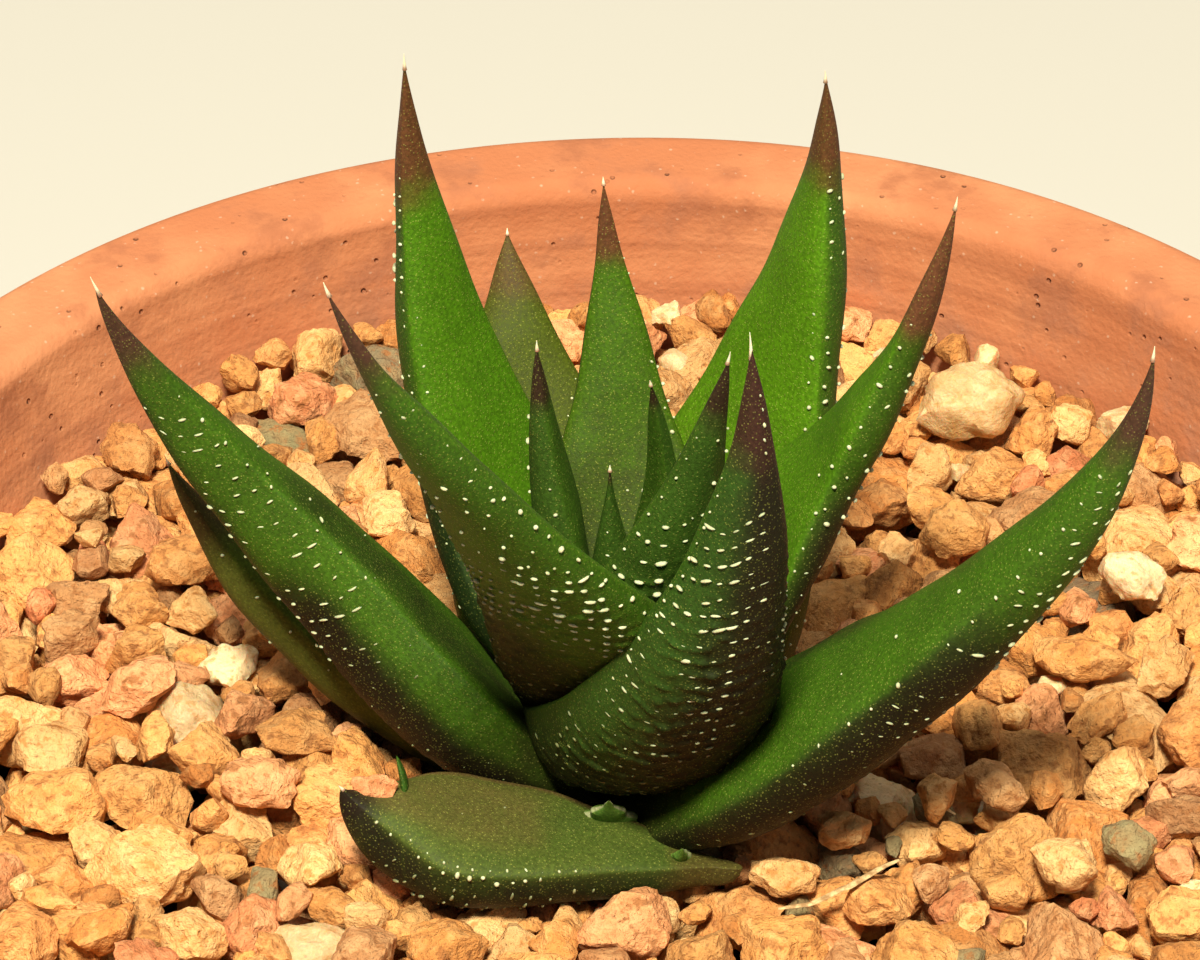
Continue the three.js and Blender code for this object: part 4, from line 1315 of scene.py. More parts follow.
LEAVES = (
    Leaf("leaf_bud", (-10, -23), 1, (78, 87), 1, (14, 3.8, 1.8), 0.4, 8.9, (0, 3), 0.18, 1.1,
         YOUNG_LEAF, "young_leaf", BUD_WARTS, 0.5, tip_start=0.9, grid=(80, 40)),
    Leaf("leaf_inner_back", (126, 145), 1.05, (72, 100), 0.8, (20.5, 4.9, 2.4), 1.2, 6.8, (-2, -4), 0.17,
         1.1, YOUNG_LEAF, "young_leaf", SLIM_WARTS, 0.5, tip_start=0.88, grid=(100, 48)),
    Leaf("leaf_inner_left", (-87, -110), 1.15, (74, 85), 0.95, (23.3, 7.9, 2.5), 1.2, 7.7, (5, 11), 0.18,
         1.3, YOUNG_LEAF, "young_leaf", SLIM_WARTS, 0.8, tip_start=0.8, grid=(110, 48)),
    Leaf("leaf_inner_right", (20, 75), 1.15, (66, 76), 1, (29, 10.6, 3.8), 1.3, 8.1, (-1, 0), 0.17, 1.2,
         YOUNG_LEAF, "young_leaf", INNER_WARTS, 1.0, ridges=(0.16, 0.6), ridge_step=1.55, tip_start=0.82,
         grid=(170, 60)),
    # Painted shade: low_end 0.95 spreads the shaded finish's dark base colour nearly to the tip.
    Leaf("leaf_back_centre", (178, 194), 0.9, (43, 74), 1.05, (30.8, 12.4, 4.4), 2, 5.5, (-1, -6), 0.23,
         0.8, SHADED_LEAF, "leaf", back_warts(182, 152), 0.6, low_end=0.95, tip_start=0.80),
    # Painted shade with real browning: the blushes darken the middle and lower outer face, which faces away from
    # the lamp, and the near-black base reaches up to low_end.
    Leaf("leaf_front", (5, 43), 0.8, (31, 93), 0.9, (48.6, 16, 6.5), 1.9, 4.3, (1, 0), 0.18, 1.1,
         SHADED_DARK_LEAF, "leaf", FRONT_WARTS, 1.9, ridges=(0.24, 0.8), ridge_step=1.25, low_end=0.36, tip_start=0.82,
         tinge_and_shade_patches=((302, 122, 0.1, 1.2, 0.95), (262, 95, 0.0, 0.3, 0.85)), grid=(400, 110)),
    # The blush is painted shade with some real browning on the lower outer flank.
    Leaf("leaf_front_left", (4, -66), 0.7, (55, 70), 4.3, (59, 16.4, 3.3), 3.2, 4.4, (5, 13), 0.23, 1,
         FOLDED_LEAF, "leaf", LEFT_WARTS, 1.1, ridges=(0.24, 0.62), ridge_step=1.3, low_end=0.62, tip_start=0.86,
         tinge_and_shade_patches=((225, 60, 0.0, 0.42, 0.7),), grid=(380, 96)),
    # Painted light: this leaf takes the bright lit copy of the skin, for its inner face that glows in the lamp.
    Leaf("leaf_back_right", (143, 117), 1, (40, 91), 0.8, (43.9, 15.2, 4.4), 2.2, 3.2, (5, -12), 0.21,
         1.15, LIT_BRIGHT_LEAF, "leaf", back_warts(184, 150), 0.9, low_end=0.6, tip_start=0.81, grid=(180, 72)),
    # The blush is painted shade with some real browning on the lower outer face.
    Leaf("leaf_right", (103, 79), 1, (51, 80), 1.55, (41.2, 15, 3.1), 1.7, 4.6, (19, -24), 0.22, 0.8,
         SIDE_LEAF, "leaf", RIGHT_WARTS, 1.0, tip_start=0.74, tinge_and_shade_patches=((225, 70, 0.0, 0.5, 0.9),), grid=(200, 72)),
    # The blush is painted shade, in dark green, on the lower outer flank.
    Leaf("leaf_back_left", (-121, -143), 0.95, (48, 86), 0.85, (45.4, 12.6, 4.4), 2, 3.3, (-1, -8), 0.24,
         0.9, LIT_LEAF, "leaf", back_warts(-4, 28), 1.2, tip_start=0.77,
         tinge_and_shade_patches=((345, 62, 0.0, 0.42, 0.9),), grid=(180, 72)),
    Leaf("leaf_back_low", (-154, -176), 1.05, (16, 60), 1, (34, 15.5, 5), 3, 0.3, (0, -4), 0.25, 1.6,
         DULL_LEAF, "old_leaf", back_warts(-4, 28), 0.5, tip_start=0.84),
    Leaf("leaf_hidden_back", (168, 170), 1, (12, 55), 1, (20, 12, 4.5), 3, 0.3, (0, 0), 0.22, 1.2,
         DULL_LEAF, "old_leaf", back_warts(184, 150), 0.5),
    Leaf("leaf_hidden_right", (131, 128), 1, (15, 60), 1, (17, 11, 4.2), 3, 0.5, (0, 0), 0.22, 1.2,
         DULL_LEAF, "old_leaf", back_warts(184, 150), 0.5),
    # Painted shade: low_end 0.5 carries the dark base colour half way up the leaf.
    Leaf("leaf_left_low", (-100, -92), 1, (10, 65), 1.2, (36.0, 13.0, 5.2), 2.5, -0.8, (0, 0), 0.19, 1.25,
         LOW_LEAF, "leaf", LOW_WARTS, 0.6, low_end=0.5),
    Leaf("offset_leaf_left", (4, 0), 1, (52, 60), 1, (6.2, 3.9, 0.5), 0, 0.9, (0, 0), 0.4, 1.2,
         TORN_LEAF, "offset_leaf", (), 0, (-1.9, -11.6), tip_start=1.5,
         tinge_and_shade_patches=((0, 30, 0.4, 1.2, 0.8), (180, 30, 0.4, 1.2, 0.8)), torn=0.4, grid=(90, 48)),
    Leaf("offset_leaf_middle", (-100, -84), 1, (40, 52), 1, (4.2, 2.9, 0.45), 0, 0.2, (20, 40), 0.3, 1.2,
         TORN_LEAF, "offset_leaf", (), 0, (1.7, -12.9), tip_start=1.5,
         tinge_and_shade_patches=((0, 34, 0.2, 1.2, 0.8),), torn=0.3, grid=(90, 48)),
    Leaf("offset_leaf_right", (0, 10), 1, (48, 56), 1, (3.6, 1.8, 0.6), 0, 1.2, (0, 20), 0.3, 1.2,
         TORN_LEAF, "offset_leaf", (), 0, (2.7, -15.2), tip_start=1.5,
         tinge_and_shade_patches=((0, 40, 0.3, 1.2, 0.6),), torn=0.35, grid=(60, 40)),
    # The first blush is painted shade with some brown on the lower flank, which faces away from the lamp; the
    # second darkens a patch of the inner face near the base.
    Leaf("leaf_right_outer", (26, 81), 0.3, (47, 85), 3.75, (54, 18, 4.7), 6, -0.8, (9, -9), 0.27, 0.8,
         LONG_LEAF, "leaf", SPARSE_RIGHT_WARTS, 1.1, ridges=(0.07, 0.6), base_depth=0.5, tip_start=0.84,
         hollow=(-0.16, 0.2),
         tinge_and_shade_patches=((218, 74, 0.0, 0.62, 0.95), (50, 40, 0.2, 0.42, 0.6)), grid=(300, 90)),
    # All three blushes are painted shade with some brown: the lower-left flank, the outer face above it, and the
    # inner face, which lies in shade.
    Leaf("leaf_left_outer", (-113, -81), 1.27, (46, 68.5), 5.3, (48.5, 12.6, 6.6), 0, -0.4, (40, -6), 0.26,
         0.65, LONG_LEAF, "leaf", SPARSE_LEFT_WARTS, 1.6, (-3.3, -6.65), 0.44, 0.39, ridges=(0.07, 0.6),
         tip_start=0.84,
         tinge_and_shade_patches=((302, 52, 0.0, 0.52, 1.0), (278, 50, 0.4, 0.9, 0.5), (72, 62, 0.05, 0.64, 0.55)), grid=(320, 90)),
    Leaf("offset_leaf_long", (-96.4, -75.8), 2.56, (6.1, 55.3), 5.11, (25.1, 10.8, 4.7), 0, 1.84, (7.2, -0.2),
         0.71, 0.9, OFFSET_LEAF, "offset_leaf", OFFSET_WARTS, 0.5, (4.95, -16.33), 0.1, 0.35, low_end=0.2,
         tip_start=0.88, tinge_and_shade_patches=((172, 44, 0.0, 0.95, 0.9), (104, 74, 0.42, 1.0, 0.5)), soft=0.2,
         grid=(180, 90)),
)


@dataclass(frozen=True)
class Crown:
    """The stem, its roots and the offset's runner."""

    lean: float = -0.13
    profile: tuple[tuple[float, float], ...] = ((4, -15.5), (4.6, -12), (4.4, -5), (3.2, 1), (1.6, 6), (0.6, 8.2))
    scars: float = 0.12
    headings: tuple[float, ...] = (20, 88, 150, 215, 300)
    drops: tuple[float, ...] = (0.8, 0.55, 0.9, 0.6, 0.75)
    root_length: float = 30.0
    root_radius: tuple[float, float] = (1.4, 0.6)
    collar: tuple[float, float] = (4.6, -12.6)
    runner: tuple[tuple[float, float, float], ...] = (
        (0.4, -4.8, -6), (0.8, -7.6, -6.4), (1.2, -11.4, -5), (1.5, -13.6, -1.2),
    )
    runner_radius: float = 1.4

    def stem(self) -> Surface:
        """The profile turned about Z with rings of leaf scars, then leant: x grows by lean * z."""
        radius, height = np.array(self.profile).T
        z = np.linspace(height[0], height[-1], 70)
        r = np.interp(z, height, radius) - self.scars * (1 + np.sin(z * TURN / 1.3))
        outline = np.concatenate([[[0, z[0]]], np.stack([r, z], -1), [[0, z[-1]]]])
        made = lathe(outline, 40, False)
        made.points[:, 0] += self.lean * made.points[:, 2]
        return made

    def root(self, heading: float, drop: float) -> Surface:
        """A root that leaves sideways and bends down: depth grows as the power 1.5 of the reach."""
        part = np.linspace(0, 1, 48)
        h = math.radians(heading)
        reach = self.collar[0] + self.root_length * (1 - 0.45 * drop) * part
        depth = self.root_length * drop * part**1.5
        lean = self.lean * self.collar[1] * (1 - part)
        x = reach * math.sin(h) + lean
        path = np.stack([x, -reach * math.cos(h), self.collar[1] - depth], -1)
        thick = self.root_radius[0] + (self.root_radius[1] - self.root_radius[0]) * part
        return tube(path, thick * (0.92 + 0.05 * np.sin(part * 40)), 14)

    def build(self) -> None:
        """Adds the stem, the roots and the runner."""
        add_piece("stem_core", self.stem(), STEM, ("stem",))
        for number, (heading, drop) in enumerate(zip(self.headings, self.drops), 1):
            add_piece(f"root_{number}_fleshy", self.root(heading, drop), ROOT, (f"root_{number}",))
        points = np.array(self.runner)
        at = np.linspace(0, 1, 30)
        path = np.stack([np.interp(at, np.linspace(0, 1, len(points)), points[:, k]) for k in range(3)], -1)
        made = tube(path, np.full(30, self.runner_radius), 14)
        add_piece("offset_runner_shoot", made, STEM, ("offset_runner",))


# ---------------------------------------------------------------- gravel


def broken(directions: Array, normals: Array, offsets: Array, hardness: float) -> Array:
    """Radii of stones bounded by planes, with rounded edges.

    Each plane alone would give offset / (normal . direction). The radius is their soft least value,
    (sum of those to the power -hardness) to the power -1 / hardness.

    Args:
        directions: Points of the unit ball, as points by 3.
        normals: Unit normals, as stones by planes by 3.
        offsets: The planes' distances from the middle, as stones by planes.
        hardness: How sharp the edges are.

    Returns:
        Radii, as stones by points.
    """
    facing = np.einsum("vk,spk->svp", directions, normals)
    inverse = np.maximum(facing, 0.0) / offsets[:, None, :]
    return (inverse**hardness).sum(-1) ** (-1 / hardness)


def roughened(places: Array, shifts: Array) -> tuple[Array, Array]:
    """Chips stones about the origin and gives them the grain of granite.

    Each point moves in or out along its radius. Folded sine noise, 1 - |n|, is high along creases,
    where material has broken away, and two finer noises make the grain.

    Args:
        places: Points in millimetres, as stones by points by 3.
        shifts: A place in the noise for each stone.

    Returns:
        The moved points, and how hollow each is, from 0 to 1.
    """
    at = places + shifts[:, None]
    radius = np.linalg.norm(places, axis=-1, keepdims=True)
    broad = np.abs(ripple(at, 3.6, 5, 5))
    crease = np.exp(-4.5 * np.abs(ripple(at, 2.0, 6, 5)))
    grain = ripple(at, 1.05, 7, 8)
    fine = ripple(at, 0.55, 8, 8)
    move = 0.13 * broad - 0.07 * crease + 0.050 * grain + 0.026 * fine - 0.03
    move = move[..., None] * np.clip(radius / 1.6, 0.2, 1.2)
    hollow = np.clip(0.75 * crease + 0.3 - 0.35 * grain, 0, 1)
    return places * (1 + move / np.maximum(radius, 0.1)), hollow


class Kind(Enum):
    """Kinds of stone: finish, record slot and share of the gravel."""

    OCHRE = (OCHRE, "gravel", 0.50)
    CREAM = (CREAM, "cream_stone", 0.21)
    ROSE = (ROSE, "rose_stone", 0.13)
    BROWN = (BROWN, "brown_stone", 0.09)
    QUARTZ = (QUARTZ, "quartz_stone", 0.045)
    GREY = (GREY, "grey_stone", 0.025)

    def __init__(self, finish: StoneFinish, slot: str, share: float) -> None:
        """Names the three parts of a kind."""
        self.finish = finish
        self.slot = slot
        self.share = share


NAMED_STONES = {
    "stone_beside_left_leaf": (Kind.CREAM, 0.9),
    "stone_rose_left": (Kind.ROSE, 0.4),
    "stone_cream_front": (Kind.CREAM, 0.6),
    "stone_cream_right": (Kind.CREAM, 0.3),
    "stone_beside_right_leaf": (Kind.CREAM, 0.5),
    "stone_brown_long": (Kind.BROWN, 0.6),
    "stone_big_right": (Kind.OCHRE, 0.3),
    "stone_quartz_right": (Kind.QUARTZ, 0.5),
    "stone_flat_orange": (Kind.OCHRE, 0.0),
    "stone_quartz_back": (Kind.QUARTZ, 1.0),
    "stone_grey_green": (Kind.GREY, 0.4),
    "stone_big_front": (Kind.CREAM, 0.8),
    "stone_big_left": (Kind.OCHRE, 0.9),
}


def node_planes(node: str) -> tuple[Array, Array, Array]:
    """The planes of a packed stone's faces.

    Args:
        node: The stone's node.

    Returns:
        Its middle, its faces' normals and their distances from the middle, in the plant's space.
    """
    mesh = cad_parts[node].data
    count = len(mesh.polygons)
    normals, centres = np.zeros(count * 3), np.zeros(count * 3)
    mesh.polygons.foreach_get("normal", normals)
    mesh.polygons.foreach_get("center", centres)
    low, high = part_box(node)
    middle = np.array((low + high) / 2)
    normals = normals.reshape(-1, 3)
    offsets = (normals * (centres.reshape(-1, 3) - middle)).sum(-1) / MM
    facing = offsets > 0.2
    return middle / MM - [0, 0, GRAVEL_LEVEL], normals[facing], offsets[facing]


@dataclass
class Gravel:
    """Loose stones, laid one by one where the pile is lowest, round the leaves and named stones."""

    rng: np.random.Generator
    depth: float = 8.9
    cell: float = 0.3
    planes: int = 12
    most_faces: int = 150_000
    spots: int = 20
    coarse: int = 1300
    fine: int = 900
    shown_above: float = -2.4
    large: float = 1.9
    pot_radius: tuple[float, float] = (50.6, 0.204)
    occupied: Array = field(init=False)
    pile: Array = field(init=False)
    voxel: float = 0.5
    reach: float = 55.0

    def __post_init__(self) -> None:
        """Starts with an empty, level pile."""
        side = int(2 * self.reach / self.cell) + 1
        axis = np.arange(side) * self.cell - self.reach
        self.pile = np.full((side, side), -self.depth)
        self.radius = np.hypot(axis[:, None], axis[None])
        self.penalty = np.zeros((side, side))
        wide = int(2 * self.reach / self.voxel) + 1
        self.occupied = np.zeros((wide, wide, 60), bool)

    def voxels(self, points: Array) -> tuple[Array, Array, Array]:
        """Indices of the voxels that hold points."""
        corner = np.array([-self.reach, -self.reach, -self.depth - 1])
        top = np.array(self.occupied.shape) - 1
        at = np.clip(((points - corner) / self.voxel).astype(int), 0, top)
        return at[..., 0], at[..., 1], at[..., 2]

    def keep_out(self, points: Array) -> None:
        """Marks the space round points as taken."""
        low = points[points[:, 2] < 18]
        self.occupied[self.voxels(low)] = True

    def shapes(self, count: int, sizes: Array, template: Surface, seed: int) -> tuple[Array, Array]:
        """Stones about the origin.

        A stone is the ball's directions times the radii that planes leave, scaled by its half
        sizes and roughened. The planes' normals are spread evenly over the ball by the golden
        angle, turned and jittered for each stone, so that no side stays open.

        Args:
            count: How many.
            sizes: Half sizes, as stones by 3.
            template: The ball.
            seed: Draws the planes.

        Returns:
            Points, as stones by points by 3, and how hollow each point is, from 0 to 1.
        """
        rng = np.random.default_rng(seed)
        number = np.arange(self.planes) + 0.5
        height, angle = 1 - 2 * number / self.planes, number * HALF_TURN * (3 - math.sqrt(5))
        flat = np.sqrt(1 - height**2)
        even = np.stack([flat * np.cos(angle), flat * np.sin(angle), height], -1)
        spun = turns(rng.uniform(0, TURN, count), unit(rng.normal(size=(count, 3))))
        normals = unit(even @ spun.transpose(0, 2, 1) + rng.normal(0, 0.26, (count, self.planes, 3)))
        offsets = rng.uniform(0.60, 0.94, (count, self.planes))
        radii = np.minimum(broken(template.points, normals, offsets, 30.0), 1.2)
        places = template.points * radii[..., None] * sizes[:, None]
        return roughened(places, rng.uniform(-90, 90, (count, 3)))

    def settle(self, size: Array, turn: Array, top: float) -> Array | None:
        """Finds where one stone comes to rest.

        The stone is an ellipsoid p' M p = 1 with M = R diag(1 / size**2) R'. Its upper and lower
        surface over each cell solve a quadratic in z. Of several low spots, it takes the one where
        it rests lowest and is clear of what is kept out.

        Args:
            size: Half sizes.
            turn: The stone's rotation matrix.
            top: How high stones may reach, give or take a millimetre.

        Returns:
            The stone's middle, or None where it fits nowhere.
        """
        m = turn @ np.diag(1 / size**2) @ turn.T
        cells = int(size.max() / self.cell) + 1
        offset = np.arange(-cells, cells + 1)
        x, y = np.meshgrid(offset * self.cell, offset * self.cell, indexing="ij")
        b = m[0, 2] * x + m[1, 2] * y
        c = m[0, 0] * x**2 + 2 * m[0, 1] * x * y + m[1, 1] * y**2 - 1
        root = b**2 - m[2, 2] * c
        inside = root > 0
        root = np.sqrt(np.maximum(root, 0))
        low = np.where(inside, (-b - root) / m[2, 2], np.inf)
        high = np.where(inside, (-b + root) / m[2, 2], -np.inf)
        side = len(self.pile)
        tries = self.rng.integers(cells, side - cells, (260, 2))
        wall = self.pot_radius[0] - size.max() * 0.8
        tries = tries[self.radius[tries[:, 0], tries[:, 1]] < wall]
        worth = self.pile[tries[:, 0], tries[:, 1]] + self.penalty[tries[:, 0], tries[:, 1]]
        tries = tries[np.argsort(worth + self.rng.uniform(0, 0.8, len(worth)))[: self.spots]]
        i = tries[:, 0, None, None] + offset[None, :, None]
        j = tries[:, 1, None, None] + offset[None, None, :]
        rest = (self.pile[i, j] - low).max((1, 2))
        place = tries * self.cell - self.reach
        middles = np.concatenate([place, rest[:, None]], -1)
        hull = (BALL.points * size) @ turn.T
        taken = self.occupied[self.voxels(middles[:, None] + hull)].any(1)
        edge = np.hypot(place[:, 0], place[:, 1]) + size.max() * 0.8
        outside = edge > self.pot_radius[0] + self.pot_radius[1] * rest
        over = rest + high.max() > top + 1.4 * self.rng.random(len(rest))
        bad = taken | over | outside
        self.penalty[tries[bad, 0], tries[bad, 1]] += 1.0
        if bad.all():
            return None
        best = int(np.argmin(np.where(bad, np.inf, rest)))
        area = (i[best], j[best])
        self.pile[area] = np.maximum(self.pile[area], rest[best] + high)
        return middles[best]

    def lay(self, count: int, middle: float, spread: float, limits: tuple[float, float], top: float) -> list[tuple]:
        """Lays stones one after another.

        Args:
            count: How many are tried.
            middle: Their middling half length, in millimetres.
            spread: How much it varies, as the deviation of its logarithm.
            limits: The least and greatest half length.
            top: How high they may reach.

        Returns:
            Middles, half sizes and rotations of those that found a place.
        """
        long = np.clip(middle * np.exp(self.rng.normal(0, spread, count)), *limits)
        breadth = self.rng.uniform(0.7, 0.95, count)
        ratio = np.stack([np.ones(count), breadth, self.rng.uniform(0.55, 0.85, count)], -1)
        sizes = long[:, None] * ratio
        tilt = turns(self.rng.normal(0, 0.35, count), unit(self.rng.normal(size=(count, 3)) * [1, 1, 0.01]))
        yaw = turns(self.rng.uniform(0, TURN, count), np.tile([0.0, 0.0, 1.0], (count, 1)))
        rotations = tilt @ yaw
        laid = []
        for size, turn in zip(sizes, rotations):
            at = self.settle(size * 0.86, turn, top)
            if at is not None:
                laid.append((at, size, turn))
        return laid

    def build(self) -> None:
        """Lays the pile and adds it as pieces for each kind, split round the axis into as many sectors as
        `most_faces` asks.
        """
        laid = self.lay(self.coarse, 2.7, 0.25, (1.7, 4.6), 0.7)
        self.penalty[:] = 0
        laid += self.lay(self.fine, 1.35, 0.25, (0.8, 1.9), 0.0)
        at = np.array([stone[0] for stone in laid])
        sizes = np.array([stone[1] for stone in laid])
        rotations = np.array([stone[2] for stone in laid])
        log.info("gravel: %d stones", len(laid))
        kinds = list(Kind)
        shares = np.array([kind.share for kind in kinds])
        chosen = self.rng.choice(len(kinds), len(laid), p=shares / shares.sum())
        tint, tone = self.rng.random(len(laid)), self.rng.random(len(laid))
        shown = at[:, 2] + sizes[:, 2] > self.shown_above
        around = np.arctan2(at[:, 1], at[:, 0]) / TURN % 1
        for number, kind in enumerate(kinds):
            groups = []
            large = sizes[:, 0] > self.large
            balls = ((COARSE_BALL, ~shown), (FINE_BALL, shown & ~large), (LARGE_BALL, shown & large))
            for template, flag in balls:
                index = np.flatnonzero((chosen == number) & flag)
                if not len(index):
                    continue
                points, hollow = self.shapes(len(index), sizes[index], template, 31 * number + len(groups))
                points = points @ rotations[index].transpose(0, 2, 1) + at[index][:, None]
                groups.append((index, points, hollow, template))
            faces = sum(len(index) * sum(map(len, template.faces)) for index, _, _, template in groups)
            sectors = math.ceil(faces / self.most_faces)
            for sector in range(sectors):
                parts = []
                for index, points, hollow, template in groups:
                    kept = (around[index] * sectors).astype(int) == sector
                    if not kept.any():
                        continue
                    made = copies(points[kept], template)
                    each = len(template.points)
                    made.values = {
                        "tint": np.repeat(tint[index[kept]], each),
                        "tone": np.repeat(tone[index[kept]], each),
                        "hollow": hollow[kept].ravel(),
                    }
                    parts.append(made)
                name = f"gravel_{kind.name.lower()}_{sector + 1}"
                add_piece(name, joined(parts), kind.finish, ("gravel_bed",), 38.0)


@dataclass(frozen=True)
class NamedStone:
    """One of the larger stones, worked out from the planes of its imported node."""

    node: str
    kind: Kind
    tint: float

    def surface(self) -> Surface:
        """The node's planes as a ball's radii, rounded at the edges and chipped."""
        middle, normals, offsets = node_planes(self.node)
        radii = broken(LARGE_BALL.points, normals[None], offsets[None], 36.0)
        places, hollow = roughened(LARGE_BALL.points * radii[..., None] * 1.03, 3 * middle[None])
        places = places[0] + middle
        made = Surface(places, LARGE_BALL.faces, LARGE_BALL.maps)
        many = len(places)
        made.values = {
            "tint": np.full(many, self.tint),
            "tone": np.full(many, 0.6),
            "hollow": hollow[0],
        }
        return made

    def build(self) -> None:
        """Adds the stone."""
        add_piece(f"{self.node}_rock", self.surface(), self.kind.finish, (self.node,), 38.0)


@dataclass(frozen=True)
class PerchedStone:
    """A small loose stone that lies on a leaf."""

    name: str
    at: Place
    half: Place
    kind: Kind
    turn: float

    def build(self, gravel: Gravel) -> None:
        """Adds the stone.

        Args:
            gravel: It shapes the stone as it shapes its own.
        """
        points, hollow = gravel.shapes(1, np.array([self.half]), LARGE_BALL, len(self.name))
        spun = turns(np.array([math.radians(self.turn)]), np.array([[0.0, 0.0, 1.0]]))[0]
        made = Surface(points[0] @ spun.T + np.array(self.at), LARGE_BALL.faces, LARGE_BALL.maps)
        count = len(LARGE_BALL.points)
        made.values = {"tint": np.full(count, 0.9), "tone": np.full(count, 0.55), "hollow": hollow[0]}
        add_piece(self.name, made, self.kind.finish, (), 38.0)


@dataclass(frozen=True)
class Straw:
    """A dry blade fragment that lies on the stones."""

    name: str
    points: tuple[tuple[float, float], ...]
    width: float
    lift: float = 0.35

    def build(self, gravel: Gravel) -> None:
        """Carries a flat section along a line that follows the top of the pile.

        Args:
            gravel: The pile that it lies on.
        """
        corners = np.array(self.points)
        at = np.linspace(0, len(corners) - 1, 40)
        x, y = (np.interp(at, np.arange(len(corners)), corners[:, k]) for k in range(2))
        i, j = (((v + gravel.reach) / gravel.cell).astype(int) for v in (x, y))
        below = gravel.pile[i, j]
        held = np.array([below[max(0, k - 7) : k + 8].max() for k in range(len(at))])
        smooth = np.convolve(np.pad(held, 4, "edge"), np.ones(9) / 9, "valid")
        path = np.stack([x, y, smooth + self.lift], -1)
        thick = self.width / 2 * np.sin(HALF_TURN * np.linspace(0.08, 0.92, len(at))) ** 0.5
        add_piece(self.name, tube(path, thick, 10, 0.3), STRAW)


@dataclass(frozen=True)
class Sliver:
    """A thin green sliver of leaf that stands upright on the offset's long leaf."""

    name: str
    foot: Place
    top: Place
    width: float

    def build(self) -> None:
        """Carries a flat section from the foot to the top, bowed sideways and pointed at the top."""
        at = np.linspace(0, 1, 24)[:, None]
        path = np.array(self.foot) * (1 - at) + np.array(self.top) * at
        path[:, 0] += 0.12 * self.width * np.sin(HALF_TURN * at[:, 0])
        thick = self.width / 2 * (1 - 0.6 * at[:, 0] ** 4)
        made = tube(path, thick, 12, 0.3)
        count = len(made.points)
        made.values = {key: np.zeros(count) for key in ("face", "tip", "low", "tinge_and_shade")}
        # It takes the front leaf's dark finish, whose darkness is partly painted shade.
        add_piece(self.name, made, SHADED_DARK_LEAF)


# ---------------------------------------------------------------- pot


